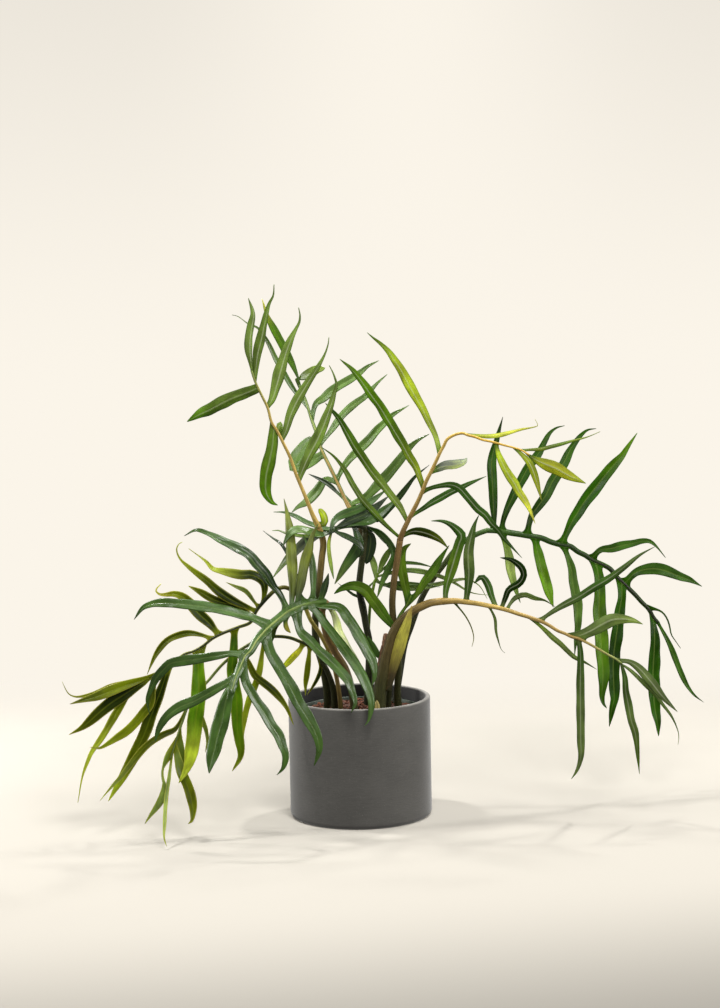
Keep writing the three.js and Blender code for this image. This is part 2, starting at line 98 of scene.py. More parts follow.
# How far from its foot a lobe takes on its own line, tint, waves and roll
LINE_REACH = 12.0
TINT_REACH = 14.0
WAVE_REACH = 22.0
ROLL_REACH = 25.0

# Colours as they look in soft white light, in 8-bit sRGB
TINTS = {
    "under": (98, 116, 52),
    "under_pale": (132, 146, 78),
    "deep": (22, 46, 0),
    "forest": (54, 84, 26),
    "blue": (52, 80, 18),
    "emerald": (40, 78, 1),
    "mid": (84, 108, 26),
    "leafy": (82, 108, 44),
    "dusty": (94, 108, 62),
    "citron": (136, 138, 34),
    # The next tint is a pale underside's colour with painted whitish glare on it.
    "milky": (158, 162, 168),
    "fresh": (82, 116, 8),
    "olive": (98, 108, 6),
    "moss": (36, 48, 0),
    "lime": (150, 160, 46),
    "butter": (196, 190, 76),
    "pale": (204, 206, 182),
    "night": (24, 28, 8),
    "bark_green": (48, 50, 20),
    "brown": (76, 64, 32),
    "rust": (120, 94, 54),
    "tan": (150, 124, 66),
    "ochre": (186, 158, 84),
    "orange": (192, 156, 62),
    "grey_green": (106, 124, 62),
    "dry": (158, 146, 62),
    "straw": (206, 190, 120),
}


def drawn(points):
    """Points written as "x,z x,z"."""
    return [tuple(float(v) for v in point.split(",")) for point in points.split()]


# Half a lobe's width from foot to tip, as distance,share of the widest
OUTLINES = {
    "lance": drawn("0,0.36 0.1,0.58 0.3,0.95 0.46,1 0.66,0.84 0.82,0.48 0.93,0.2 1,0.03"),
    "strap": drawn("0,0.46 0.12,0.74 0.3,0.96 0.55,1 0.76,0.84 0.88,0.5 0.96,0.22 1,0.03"),
    "web": drawn("0,0.8 0.1,0.8 0.25,0.9 0.5,1 0.74,0.84 0.88,0.5 0.96,0.2 1,0.03"),
    "whip": drawn("0,0.4 0.1,0.66 0.3,1 0.52,0.8 0.7,0.48 0.82,0.24 0.91,0.13 1,0.05"),
    "waist": drawn("0,0.4 0.1,0.5 0.3,0.72 0.52,1 0.68,0.8 0.85,0.42 1,0.03"),
    "thread": drawn("0,1 0.3,0.8 0.7,0.5 1,0.2"),
    "sheath": drawn("0,0.4 0.25,0.75 0.5,1 0.7,0.8 0.88,0.4 1,0.05"),
    "oval": drawn("0,0.5 0.2,0.85 0.5,1 0.75,0.85 0.92,0.5 1,0.05"),
}


def stem(widths, depths, looks, line):
    """A stalk, rachis or strip: its width and depth at both ends, its tints from foot to tip, its points."""
    return dict(widths=widths, depths=depths, looks=looks, line=drawn(line))


def lobe(width, lean, points, look=None, outline="lance", roll=0, twist=0, **own):
    """A lobe's apparent width, how far its tip leans back, its points from foot to tip, and its looks:
    one or more tints from foot to tip, an outline, and a roll and a twist in degrees.
    It may have its own fold or gloss; otherwise it takes its leaf's."""
    return dict(width=width, lean=lean, points=drawn(points), look=look, outline=outline, roll=roll,
                twist=twist, own=own)


LEAVES = {}


def drawn_leaf(name, **parts):
    """Adds a leaf to the table: the side that it shows, its tint, its gloss, how wide a lobe's foot is (as a
    share of its width, and mm more), the width of its wing along the rachis, how far its lobes fold, the
    pitch of the corners that they grow from, its stalk, its rachis and its lobes."""
    LEAVES[name] = parts


# Leaf lines are drawn, as in the CAD, on the upright plane y = 0 as seen from EYE, and moved to their real
# depth along the line of sight: a drawing point is x,z and depths are the real y at both ends.
# The photograph leans a little, so the drawing is turned upright and set on the planter first.
drawn_leaf(
    "upper_left", shows="under", look="under", gloss=0.35, foot=(0.24, 0.5), wing=2.2, fold=0.4, pitch=2.0,
    stalk=stem((10.5, 8.5), (-2, -35), "night bark_green bark_green tan",
               "-45,150 -46,170 -52,205 -60,235 -62,262 -60,285 -57,310 -55,330 -53,350 -51,372 -57,391"),
    rachis=stem((5.5, 2.4), (-36, -110), "ochre ochre ochre under_pale",
                "-57,392 -64,405 -72,425 -80,445 -87,462 -95,485 -103,502 -112,520 -119,531 -124,550 "
                "-131,565 -140,584 -145,599"),
    lobes=[
        lobe(10, 20, "-145,598 -147,620 -147,640 -144,660 -142,675 -149,695", roll=30),
        lobe(12, -20, "-140,592 -137,620 -131,645 -127,665 -124,677 -121,688 -116,698 -115,713",
             outline="whip", twist=35),
        lobe(17, 60, "-137,577 -150,571 -175,561 -200,548 -215,541 -231,532", "under under fresh", "web"),
        lobe(15, 30, "-125,552 -118,562 -112,580 -105,605 -99,625 -92,643 -86,655 -82,663 -81,672 -83,683",
             outline="whip"),
        lobe(13, 36, "-105,508 -100,520 -94,540 -86,558 -78,572 -70,585 -62,597 -56,607 -51,616 -47,625 "
             "-44,635 -43,644", outline="whip"),
        lobe(15, 24, "-83,455 -75,475 -68,490 -60,505 -53,520 -46,538 -40,555 -36,570 -33,580 -37,595 "
             "-43,607", outline="whip"),
        lobe(17, 50, "-116,525 -118,500 -122,480 -126.5,460 -127,440 -123,430 -118,424 -111,421",
             "under mid fresh", "web"),
        lobe(10, -8, "-57,392 -49,394 -48,402 -51,410 -57,416", "lime lime", "oval", roll=20, fold=0.8),
        lobe(9, 24, "-112,520 -108,528 -104,520 -103,512", "under", "oval", roll=-30),
    ])

drawn_leaf(
    "upper_back", shows="top", look="leafy", gloss=0.8, foot=(0.3, 0.8), wing=3.0, fold=0.26, pitch=2.0,
    stalk=stem((9.5, 7), (20, 26), "night bark_green brown",
               "8,150 10,240 5,265 -2,300 -1,335 3,366 -3,395 -13,413"),
    rachis=stem((5.5, 2.6), (26, 110), "tan tan under_pale leafy",
                "-14,414 -20,425 -27,440 -33,453 -42,472 -53,495 -60,518 -66,535 -74,560 -86,588"),
    lobes=[
        lobe(11, -20, "-84,588 -91,608 -97,620 -103,632 -110,645 -118,660 -124,672 -131,694",
             "forest fresh fresh butter"),
        lobe(8, 40, "-75,555 -85,568 -93,580 -100,592 -108,607 -112,613 -120,630 -128,645 -137,656 -149,661 "
             "-163,671 -171,673", "forest mid", "whip"),
        lobe(13, -30, "-84,588 -75,592 -65,598 -58,602 -48,603", "under under_pale", "oval", twist=50),
        lobe(12, -40, "-66,540 -60,556 -50,563 -40,572 -30,579 -20,585 -10,591 0,598 8,605 23,613"),
        lobe(10, -40, "-54,502 -40,520 -25,540 -15,550 -5,558 5,565 20,582 34,595"),
        lobe(12, -30, "-34,455 -18,480 -8,490 2,500 12,510 22,522 30,530 40,540 63,554"),
        lobe(14, -12, "-19,423 5,432 20,446 35,462 50,480 62,496 74,507 90,516"),
        lobe(9, -6, "-22,430 1,411 20,402 35,415 50,432 60,445 70,458 90,475", "deep"),
        lobe(18, 30, "-50,490 -70,478 -88,472 -86,484 -80,495 -67,513", outline="oval"),
        lobe(13, 20, "-33,452 -47,455 -60,438 -73,425 -85,418 -93,411", twist=40),
        lobe(6, 10, "-22,430 -30,437 -45,450 -60,458 -71,463", "deep"),
    ])

drawn_leaf(
    "centre_dark", shows="top", look="deep", gloss=0.7, foot=(0.3, 0.5), wing=2.6, fold=0.3, pitch=1.1,
    stalk=stem((9.5, 8.5), (2, 0), "night night night bark_green",
               "8,150 10,240 8,250 5,265 2,285 -2,300 -3,315 -1,335 1,350 3,366 5,384"),
    rachis=stem((6, 3), (0, -44), "bark_green deep",
                "5,385 4,392 -10,394 -25,392 -41,386"),
    lobes=[
        lobe(11, -8, "-41,386 -55,381 -68,383 -80,387 -90,386 -97,380 -106,364",
             "forest leafy forest", gloss=0.5),
        lobe(12, 58, "-41,387 -35,402 0,418 35,443", "forest"),
        lobe(12, 56, "-38,387 -20,398 10,412 38,435", "deep"),
        lobe(12, 40, "-25,391 -10,397 12,401 30,415 50,432", "forest"),
        lobe(7, 20, "-24,392 -45,388 -62,393 -75,398 -87,405 -102,411 -117,412", "forest"),
        lobe(14, 16, "-24,392 -44,384 -60,378 -75,368 -90,355 -105,340 -118,324", "deep moss mid"),
        lobe(5, 12, "-24,392 -48,382 -75,379 -100,383 -110,387 -119,387", "mid"),
        lobe(8, 12, "-38,387 -12,374 -1,365 0,356 -6,350", "deep"),
        lobe(14, -4, "-10,393 -5,372 -8,362 -17,348 -25,335 -36,315", "deep forest under"),
        lobe(5, 2, "-41,386 -44,372 -44,360 -41,340 -37,322", "lime fresh", "strap"),
        lobe(8, 5, "5,388 14,386 25,378 37,365", "deep"),
        lobe(15, 8, "3,386 11,378 11,364 6,342", "deep", "oval"),
        lobe(9, 12, "5,387 22,385 37,370 43,355 35,337 26,315 21,297", "deep forest leafy", "strap"),
    ])

drawn_leaf(
    "centre_small", shows="top", look="grey_green", gloss=0.6, foot=(0.3, 0.3),
    wing=1.6, fold=0.25, pitch=0.8,
    stalk=stem((4.5, 4), (10, 10), "bark_green mid",
               "14,150 12,200 9,240 10,265 12,290 17,317"),
    rachis=stem((3.2, 2), (10, 9), "mid mid",
                "17,318 20,324 22,330"),
    lobes=[
        lobe(9, 0, "18,322 17,340 8,366"),
        lobe(9, -2, "22,328 30,348 43,370", "mid under"),
        lobe(6, 0, "18,320 30,313 40,316 60,316 85,314 105,311", "leafy"),
        lobe(4, 0, "18,321 8,310 -5,299 -20,308 -32,317", "forest"),
        lobe(5, 4, "22,328 36,341 52,344 75,343 98,337", "leafy"),
        lobe(8, 14, "19,319 50,310 85,312 115,318 138,322 156,314 168,295",
             "leafy grey_green under_pale", "whip"),
        lobe(7, 18, "21,326 60,334 95,329 122,318 146,304 172,300", "leafy grey_green under_pale", "whip"),
    ])

drawn_leaf(
    "centre_low", shows="top", look="forest", gloss=0.6, foot=(0.34, 1), wing=2.6, fold=0.3, pitch=1.4,
    stalk=stem((7, 7), (-8, -14), "night bark_green",
               "36,150 40,200 45,250"),
    rachis=stem((5.5, 3), (-14, -12), "forest mid",
                "45,251 50,270 62,290 66,300"),
    lobes=[
        lobe(15, -2, "45,252 35,266 25,280 14,295 5,307 -10,313 -25,310 -37,302",
             "forest mid forest", "strap"),
        lobe(13, 12, "63,291 57,320 53,340 53,352 57,363 66,370", "mid", "strap"),
        lobe(12, 14, "63,291 72,300 85,320 95,333 105,350 117,368", "mid forest"),
    ])

drawn_leaf(
    "centre_arch", shows="under", look="mid", gloss=0.45, foot=(0.26, 0.6), wing=1.6, fold=0.3, pitch=2.0,
    stalk=stem((9.5, 8.5), (8, -20), "night bark_green brown rust",
               "49,150 48,170 49,190 50,205 49,220 45,245 43,262 41,289 43,317 47,345 51,373"),
    rachis=stem((6.6, 2.2), (-20, -110), "rust tan ochre orange orange",
                "51,374 55,385 62,400 69,414 75,426 81,440 86,453 93,467 100,482 105,493 109,500 113,508 "
                "120,513 128,516 135,516.5 141,514 149.5,512 160,508 174,505 188,501 200,498 211,494.5 "
                "222,488"),
    lobes=[
        lobe(8, 16, "51,376 30,396 15,412 0,429 -12,448 -20,463 -30,478 -38,487 -54,499", "mid under mid"),
        lobe(11, -8, "53,380 68,386 84,384 102,376 116,363", "moss moss olive"),
        lobe(11, 20, "61,400 52,416 40,432 28,447 10,470 0,485 -10,500 -20,518 -30,535 -48,557",
             "under_pale mid emerald", "strap"),
        lobe(12, 36, "82,446 72,470 62,487 55,500 45,517 36,532 25,550 15,564 5,578 -5,592 -15,603 -29,615",
             "lime mid fresh mid", "strap"),
        lobe(13, 40, "104,492 97,515 88,533 80,550 70,567 60,585 52,600 44,612 35,625 25,635 15,643 7,650",
             "under_pale lime lime fresh", "waist"),
        lobe(9, 40, "66,408 82,417 93,424 107,432 118,438 131,444 148,452 166,460", "forest", gloss=0.8),
        lobe(10, -30, "80,438 90,443 100,446 118,448 129,444 141,431 155,415 164,408 172,397 181,388 "
             "189,377 200,365 214,350", "forest", gloss=0.7),
        # This lobe's whitish middle and tip are partly painted glare.
        lobe(12, 10, "93,467 103,471 110,473 125,474 136,478 140,484", "moss milky milky", "oval", twist=20),
        lobe(6, 30, "141,514 170,513 184,515 200,519 211,522 228,525 233,527 229,536",
             "lime butter", "whip"),
        lobe(11, -30, "178,503 181,490 185,480 190,470 196,460 203,450 208,440 215,430 221,420 231,396",
             "lime lime butter"),
        lobe(9, -40, "205,496 222,478 228,465 233,450 237,435 239,427", "lime olive citron"),
        lobe(16, -10, "221,488 232,481 245,475 258,470 270,463 282,457 298,450", "lime citron citron lime"),
        lobe(5, 30, "212,494 225,495 238,496 249,499 265,503 281,507.5 299,512 316,519",
             "olive mid lime", "whip"),
    ])

drawn_leaf(
    "right_arch", shows="under", look="dusty", gloss=0.4, foot=(0.34, 1), wing=1.8, fold=0.3, pitch=2.0,
    stalk=stem((20, 9.5), (-26, -26), "bark_green bark_green brown brown tan",
               "22,150 25,175 29,195 33,215 38,235 43,250 50,262 60,272 70,280 82,286 92,290 107,292"),
    rachis=stem((7.4, 2.6), (-26, -95), "tan ochre tan tan under_pale",
                "108,292 127,292.5 140,291 155,289 170,286 180,284 190,281.5 200,278.5 210,275 220,272 "
                "230,268.5 240,265 250,260 262,252.5 272,248.5 281,244 289.5,242 300,237 310,231.5 "
                "320,225.5 330.5,219.5 340.5,214 348,208.5"),
    lobes=[
        lobe(14, 6, "109,293 112,310 118,330 124,350 130,370 133,380 125,390 115,397 105,400 92,400",
             "forest mid forest forest"),
        lobe(14, -30, "139,293 142,315 143,330 142,345 142,360 146,380 150,395 156,408",
             "forest dusty forest"),
        lobe(9, -30, "188,282 192,296 196,307 203,312 210,316 216,327 213,337 207,343 199,348 184,351",
             "deep", "strap", gloss=0.8),
        lobe(10, -50, "237,265 255,278 266,285 290,298 310,311 330,323 350,338 370,354 391,366",
             "dusty forest dusty"),
        lobe(7, 14, "192,281 198,290 205,297 218,300 230,295 245,292 258,285", "dusty", twist=90),
        lobe(17, -50, "285,243 300,249 310,254 322,261 335,267 350,268 363,266 376,261",
             "dusty dusty under_pale"),
        lobe(11, 30, "290,241 292.5,225 293,200 293,180 293.5,150 294,120 294.5,100 295,85 293,72 289,61 "
             "282,50", "forest dusty dusty", "strap"),
        lobe(7, 30, "228,269 244,254 255,243 266,234 275,225 285,216 298,210 315,200", "under_pale dusty"),
        lobe(12, -30, "342,211 358,210 369,203.5 380,192 390,180 400,167 410,156 424,142", "dusty"),
        lobe(6, -10, "346,209 361,198 379,180.5 395,164.5 404,152 415,137.5 423,121.5 426,109.5 425,97",
             "dusty", "whip"),
        lobe(10, 30, "346,209 352,190 354,170 358,150 362,130 367,115 369.5,100 371,85 374,57",
             "forest dusty mid"),
        lobe(4, 20, "170,286 178,269 179.5,252 182.5,240 187,227 192,222", "dusty", "whip"),
        lobe(2.4, 20, "124,291 139.5,271 147,256 150,242 147.5,230.5", "mid dry", "thread"),
        lobe(9, 16, "180,284 173,300 168,315 160,325 150,316", "forest", "strap"),
    ])

drawn_leaf(
    "right_back", shows="top", look="emerald", gloss=0.55, foot=(0.42, 2.4), wing=4.2, fold=0.3, pitch=2.0,
    stalk=stem((9.5, 7), (34, 60), "night night bark_green forest",
               "45,150 52,200 58,235 66,258 73,278 82,300 95,322 110,342 125,362 140,375 155,383 166,387"),
    rachis=stem((8, 5), (60, 130), "forest deep night night",
                "167,387 180,387 199,384 212,382 226,379.5 240,377 252,372 266,368 278,366 288,359 298,354 "
                "307,348 331,336 340,325 349,317 359,307 366,300 374,291 383,282 390,270 396,263"),
    lobes=[
        lobe(13, 60, "176,387 176,400 175,420 174,440 173,460 172,475 174,490 178,505 181,517 187,539",
             "deep emerald deep"),
        lobe(13, 60, "184,386 191,411 199,429 206,444 214,459 221,472 236,493 242,505.5 249,517 258,524 "
             "269,527", "deep emerald forest"),
        lobe(14, 60, "220,381 225,406 233,418 244,434 252,451 260,464 268,478 276,494.5 284,507 291,515 "
             "299,521 311,523", "deep forest emerald"),
        lobe(17, 60, "266,368 279,398 288,413 296,426 306,439 316,452 326,465 336,477 345,487 352,498 "
             "365,517.5", "emerald emerald fresh"),
        lobe(12, 30, "308,350 318,361 332,363 346,367 361,370 372,373 382,373 390,368 405,350.5",
             "forest", "whip", gloss=0.9),
        lobe(16, 30, "350,316 365,331 378,335 390,336 402,334 413,330 425,325 437,321 454,312",
             "forest", gloss=0.8),
        lobe(3, 0, "380,284 400,278 407,270 411,260 414,247 420,238 427,228", "forest", "thread"),
        lobe(8, 20, "396,264 407,243 414,228 420,213 425,200 431,187 438,175 446,165 459,155",
             "forest", gloss=0.8),
        lobe(12, -30, "186,386 192,368 196,350 198,335 202,318 207,303 212,290", "fresh under_pale fresh"),
        lobe(14, -40, "230,378 235,355 240,335 246,315 251,298 256,284", "emerald fresh fresh", "strap"),
        lobe(13, -45, "270,366 275,350 279,335 281,318 284,303 287,288 288,272 288,255 286,240 285,218",
             "forest leafy forest", fold=0.6),
        lobe(18, -50, "312,346 316,325 317,300 316.5,280 318,260 320,240 321,220 323,200 323,180 322,163 "
             "324,154 329,147", "emerald fresh emerald", "strap"),
        lobe(16, -45, "347,318 347,298 344,280 342,262 340,245 337.5,225 336.5,205 337,190 338,172 "
             "338.5,160 336,148 332.5,122", "emerald deep emerald", "strap"),
        lobe(16, -35, "390,270 391.5,245 391,225 390,205 390,190 391,170 392,155 394,142 396.5,130 399,109",
             "deep emerald emerald", "strap"),
    ])

drawn_leaf(
    "front_left", shows="top", look="blue", gloss=1.0, foot=(0.42, 3.5), wing=7.0, fold=0.16, pitch=2.2,
    stalk=stem((9.5, 9.5), (-48, -61), "bark_green brown rust rust",
               "-10,150 -15,180 -22,202 -36,225 -46,245 -50,262 -53,278 -48,290"),
    rachis=stem((5, 2.2), (-62, -200), "forest under_pale under_pale",
                "-49,291.5 -66,290 -85,284.5 -100,277 -110,269 -121,260 -133,248 -141,238 -148,226 -155,219 "
                "-160.5,208 -166,195 -170,184 -173,173"),
    lobes=[
        lobe(14, -22, "-50,291 -28,283 -18,268 -8,252 0,237 8,222 14,210 17,198 17,188 14,178",
             outline="web"),
        lobe(13, -42, "-60,290 -50,265 -40,250 -30,236 -20,222 -10,208 -2,195 5,180 10,168 13,155 12,142 "
             "9,130 4,123", outline="web"),
        lobe(13, -26, "-88,282 -82,252 -68,237 -55,223 -34,203 -19,185 -12,168 -9,154 -14,141",
             outline="web"),
        lobe(16, -10, "-131,250 -122,222 -112,205 -102,188 -92,170 -85,155 -77,142 -70,130 -62,115 -58,103 "
             "-57,90 -64,68", outline="web"),
        lobe(13, 8, "-162,205 -155,180 -148,168 -140,155 -130,140 -122,125 -112,110 -107,97 -103,85 -103,75 "
             "-106,65 -114,56", outline="web"),
        lobe(20, -25, "-173,176 -180,160 -184,145 -189,125 -194,108 -198,90 -202,75 -205,58", outline="web"),
        lobe(13, -8, "-172,182 -190,175 -205,167 -224,157 -245,148 -261,136 -270,123 -275,111 -277,101",
             outline="web"),
        lobe(13, 10, "-155,219 -175,221 -190,219 -215,215 -243,211 -256,208 -265,200 -275,188 -283,172 "
             "-287,158 -284,138", twist=-25),
        lobe(13, 30, "-123,258 -145,269 -158,273 -179,279 -199,283 -227,287 -247,289 -268,290 -281,288 "
             "-292,283 -304,267", outline="web"),
        lobe(13, 44, "-92,281 -108,300 -120,313 -130,328 -141,340 -151,352 -164,360 -185,371 -205,382 "
             "-220,387 -236,380", "deep deep forest blue", fold=0.5),
        lobe(14, 80, "-93,281 -92,320 -93,340 -94,360 -95,380 -98,405 -103,430",
             "moss olive olive olive", gloss=0.0),
        lobe(13, 26, "-86,284 -80,325 -76,345 -71,362 -65,382 -57,397", "moss olive olive", gloss=0.0),
        lobe(9, 20, "-63,290 -64,315 -65,335 -67,352 -72,368 -78,382"),
        lobe(9, 6, "-54,291 -50,308 -44,330", "deep"),
        lobe(5, 60, "-80,286 -90,335 -100,358 -108,370 -118,377 -131,387", "deep"),
        lobe(10, 8, "-46,294 -39,284 -34,266 -30,250 -22,235 -10,218 3,200",
             "lime pale under_pale", gloss=0.5),
        lobe(9, 14, "-112,268 -118,258 -121,246 -125,232", "moss forest", "oval"),
        lobe(7, 18, "-108,270 -103,258 -95,249", "olive dry", gloss=0.3),
    ])

drawn_leaf(
    "left_olive", shows="top", look="olive", gloss=0.35, foot=(0.36, 1.2), wing=2.4, fold=0.28, pitch=1.8,
    stalk=stem((6, 5.5), (-30, -50), "bark_green tan dry moss",
               "-28,150 -31,175 -37,205 -46,230 -58,252 -68,267 -78,290 -90,305 -103,311 -115,307 -126,297"),
    rachis=stem((4.4, 2.4), (-50, -92), "moss night night moss",
                "-127,296 -140,280 -148,264 -165,257 -185.5,249 -199,242 -213,231 -226,224 -236,221 "
                "-250,211 -265,200 -284,188"),
    lobes=[
        lobe(14, -30, "-284,188 -295,184 -310,180 -325,175 -340,169 -355,163 -370,159 -391,153",
             "olive olive moss"),
        lobe(7, 0, "-284,188 -335,177 -350,171 -360,167 -372,164 -383,163 -392,167 -401,184",
             "moss olive", "whip"),
        lobe(17, -24, "-284,188 -318,166 -335,155 -350,143 -362,132 -375,121 -393,111", "moss moss olive"),
        lobe(10, -30, "-284,187 -311,169 -323,150 -332,135 -342,118 -352,102 -362,88 -369,72 -375,55 -382,18",
             "moss olive lime lime", "whip"),
        lobe(12, -34, "-282,187 -283,155 -293,140 -303,128 -315,116 -330,106 -342,98 -352,93 -365,94.5",
             "moss olive olive"),
        lobe(15, -24, "-258,205 -264,185 -270,168 -277,150 -284,132 -290,115 -297,100 -304,85 -313,68 "
             "-322,52 -341,20", "moss moss olive lime", "strap"),
        lobe(9, 30, "-200,242 -215,247 -230,249 -245,246 -258,240 -268,230 -276,218 -282,205 -287,193",
             "moss olive"),
        lobe(15, 40, "-190,246 -203,262 -217,275 -228,288 -238,298 -250,302 -262,301 -270,302 -274,307 "
             "-267,316", "moss moss olive butter", "whip"),
        lobe(12, 20, "-140,280 -171,293 -191,306 -205,319 -218,329 -232,340 -242,350 -246,362 -243,369 "
             "-238,372", "moss moss olive lime", "whip"),
        lobe(13, 12, "-127,296 -130,317 -145,327 -160,327 -175,329 -188,332 -198,335 -207,345 -217,353 "
             "-230,363", "moss moss lime olive", "whip", twist=60),
        lobe(11, 22, "-147,273 -170,287 -185,290 -200,296 -215,305 -231,313", "moss moss olive", "strap"),
        lobe(6, 30, "-140,282 -154,305 -168,312 -181,318", "under"),
        lobe(20, -50, "-215,234 -218,212 -218,190 -218,170 -220,150 -223,130 -225,110 -228,90 -232,72 "
             "-238,58 -246,45", "fresh fresh fresh lime lime", "strap", fold=0.12),
        lobe(15, -22, "-170,254 -171,225 -173,200 -170,178 -167,160 -167,140 -166,120 -164,105 -162,92 "
             "-163,80 -174,61", "forest fresh fresh olive", "strap"),
    ])

drawn_leaf(
    "lowest_left", shows="top", look="olive", gloss=0.35, foot=(0.36, 1.2), wing=2.2, fold=0.28, pitch=1.8,
    stalk=stem((8.5, 7), (-15, -22), "night bark_green",
               "-36,150 -38,175 -46,198 -51,207"),
    rachis=stem((5, 3), (-22, -96), "bark_green moss grey_green grey_green",
                "-52,208 -60,225 -80,237 -100,244 -130,243 -160,228 -185,208 -205,185 -228,160 -240,130 "
                "-246,112 -257,78"),
    lobes=[
        lobe(11, -40, "-257,80 -268,65 -269,52 -266,38 -269,24 -276,12 -284,1 -292,-11",
             "grey_green under_pale under"),
        lobe(5, -84, "-256,80 -259,50 -262,30 -264,10 -265,-10 -266,-30 -263,-42",
             "grey_green under_pale", "strap"),
        lobe(13, -10, "-246,112 -244,88 -242,72 -240,58", "grey_green olive"),
        lobe(13, -50, "-251,96 -241,58 -235,45 -230,30 -227,15 -227,2 -229,-7 -234,-11",
             "grey_green olive olive", "strap"),
        lobe(6, -14, "-226,165 -212,128 -208,115 -207,102 -210,86", "olive under"),
        lobe(9, -56, "-236,145 -250,119 -265,112 -280,103 -292,93 -303,80 -314,66 -325,52 -338,38 -352,21",
             "moss olive under_pale"),
        lobe(9, -10, "-130,243 -138,192 -144,175 -150,160 -155,143 -158,125 -160,108 -161,85",
             "olive lime lime"),
        lobe(10, 0, "-160,226 -152,211 -143,192 -133,183 -123,175 -113,165 -105,155 -100,147 -91,124",
             "olive moss olive"),
        lobe(9, -10, "-78,235 -84,225 -91,218 -100,208 -112,196", "butter lime"),
        lobe(8, -2, "-70,228 -71,215 -72,205 -73,195 -75,180 -75,164", "olive"),
        lobe(5, 0, "-56,212 -55,200 -60,186 -73,165", "deep"),
    ])


# The rough main stem, the scale on it, the right stalk's papery sheath and a dry stub in the bark mix
MAIN_STEM = stem((9, 7), (0, -2), "", "21,150 23,185 26,215 31,236 33,248")
STEM_SCALE = stem((10, 10), (-2, -14), "forest", "27,214 18,226 8,245")
SHEATH = stem((18, 18), (-31, -35), "bark_green brown dry butter butter ochre",
              "35,170 38,186 42,206 47,224 53.5,244 61.5,266 67,286")
STUB_DEPTHS = (-42, -43)
STUB_LINE = drawn("21,148 20,158")


# Vectors and smooth lines

def unit(v):
    """v, or each row of it, at length 1."""
    return v / np.maximum(np.linalg.norm(v, axis=-1, keepdims=True), 1e-9)


def across(v, along):
    """v with its share along a unit vector taken out, as a unit vector."""
    return unit(v - np.sum(v * along, axis=-1, keepdims=True) * along)


def linear(tint):
    """An 8-bit sRGB colour, or a tint's name, as linear light."""
    s = np.array(TINTS[tint] if isinstance(tint, str) else tint) / 255
    return np.where(s < 0.04045, s / 12.92, ((s + 0.055) / 1.055) ** 2.4)


def tints_along(looks, share):
    """Colours at the given shares of a length, running evenly through one or more tints."""
    names = looks.split()
    stops = np.linspace(0, 1, len(names))
    colours = np.array([linear(n) for n in names])
    return np.stack([np.interp(share, stops, colours[:, k]) for k in range(3)], axis=-1)


def eased(x):
    """A soft step from 0 to 1."""
    x = np.clip(x, 0, 1)
    return x * x * (3 - 2 * x)


def evenly(ends, share):
    """A value that runs evenly from one end's to the other's."""
    return ends[0] + (ends[1] - ends[0]) * share


def place(point, depth):
    """Where a drawing point is in space, at a depth along the line of sight."""
    lean = math.radians(LEAN_DEG)
    x = point[0] * math.cos(lean) + point[1] * math.sin(lean) + DRAWING_SHIFT[0]
    z = point[1] * math.cos(lean) - point[0] * math.sin(lean) + DRAWING_SHIFT[1]
    share = 1 - depth / EYE[1]
    return np.array((EYE[0] + (x - EYE[0]) * share, depth, EYE[2] + (z - EYE[2]) * share))


def placed(points, depths):
    """Drawing points at depths that run evenly along the line from one end to the other."""
    steps = [math.dist(a, b) for a, b in zip(points, points[1:])]
    share = np.concatenate([[0], np.cumsum(steps)]) / sum(steps)
    return np.array([place(p, evenly(depths, s)) for p, s in zip(points, share)])


class Line:
    """A smooth line through points in space, read by the distance along it."""

    PER_SPAN = 14
    REACH = 2.0
    TRIES = 60

    def __init__(self, points):
        p = np.vstack([2 * points[0] - points[1], points, 2 * points[-1] - points[-2]])
        made = [self.span(*p[i:i + 4]) for i in range(len(points) - 1)]
        self.points = np.vstack(made + [points[-1:]])
        steps = np.linalg.norm(np.diff(self.points, axis=0), axis=1)
        self.distances = np.concatenate([[0], np.cumsum(steps)])
        self.length = self.distances[-1]

    def span(self, a, b, c, d):
        """The stretch from b to c of a centripetal Catmull-Rom line."""
        gaps = [np.linalg.norm(q - p) for p, q in ((a, b), (b, c), (c, d))]
        k = np.cumsum([0] + [max(1e-3, gap ** 0.5) for gap in gaps])
        t = np.linspace(k[1], k[2], self.PER_SPAN, endpoint=False)[:, None]

        def between(p, q, i, j):
            return ((k[j] - t) * p + (t - k[i]) * q) / (k[j] - k[i])

        ab, bc, cd = between(a, b, 0, 1), between(b, c, 1, 2), between(c, d, 2, 3)
        return between(between(ab, bc, 0, 2), between(bc, cd, 1, 3), 1, 2)

    def at(self, distance):
        return np.stack([np.interp(distance, self.distances, self.points[:, k]) for k in range(3)], axis=-1)

    def steps(self, pitch, fewest=1):
        """Even distances along the line, about a pitch apart."""
        return np.linspace(0, self.length, max(fewest, round(self.length / pitch)) + 1)

    def along(self, distance):
        """The line's heading."""
        ahead = self.at(np.minimum(distance + self.REACH, self.length))
        return unit(ahead - self.at(np.maximum(distance - self.REACH, 0)))

    def frames(self, distance, faces):
        """Its headings, the normals nearest to a direction that it faces, and the sides square to both."""
        along = self.along(distance)
        normals = across(faces, along)
        return along, normals, np.cross(along, normals)

    def nearest(self, point, most):
        """The distance along the line, up to most, at which it passes nearest to a point."""
        near = np.linspace(0, most, self.TRIES)
        return near[np.argmin(np.linalg.norm(self.at(near) - point, axis=1))]


# Meshes

def linked(name, data):
    """An object in the scene."""
    thing = bpy.data.objects.new(name, data)
    bpy.context.scene.collection.objects.link(thing)
    return thing


def body(name, corners, faces, materials):
    """A smooth mesh in the scene, in metres."""
    mesh = bpy.data.meshes.new(name)
    mesh.from_pydata(corners, [], faces)
    mesh.polygons.foreach_set("use_smooth", [True] * len(faces))
    for material in materials:
        mesh.materials.append(material)
    return linked(name, mesh)


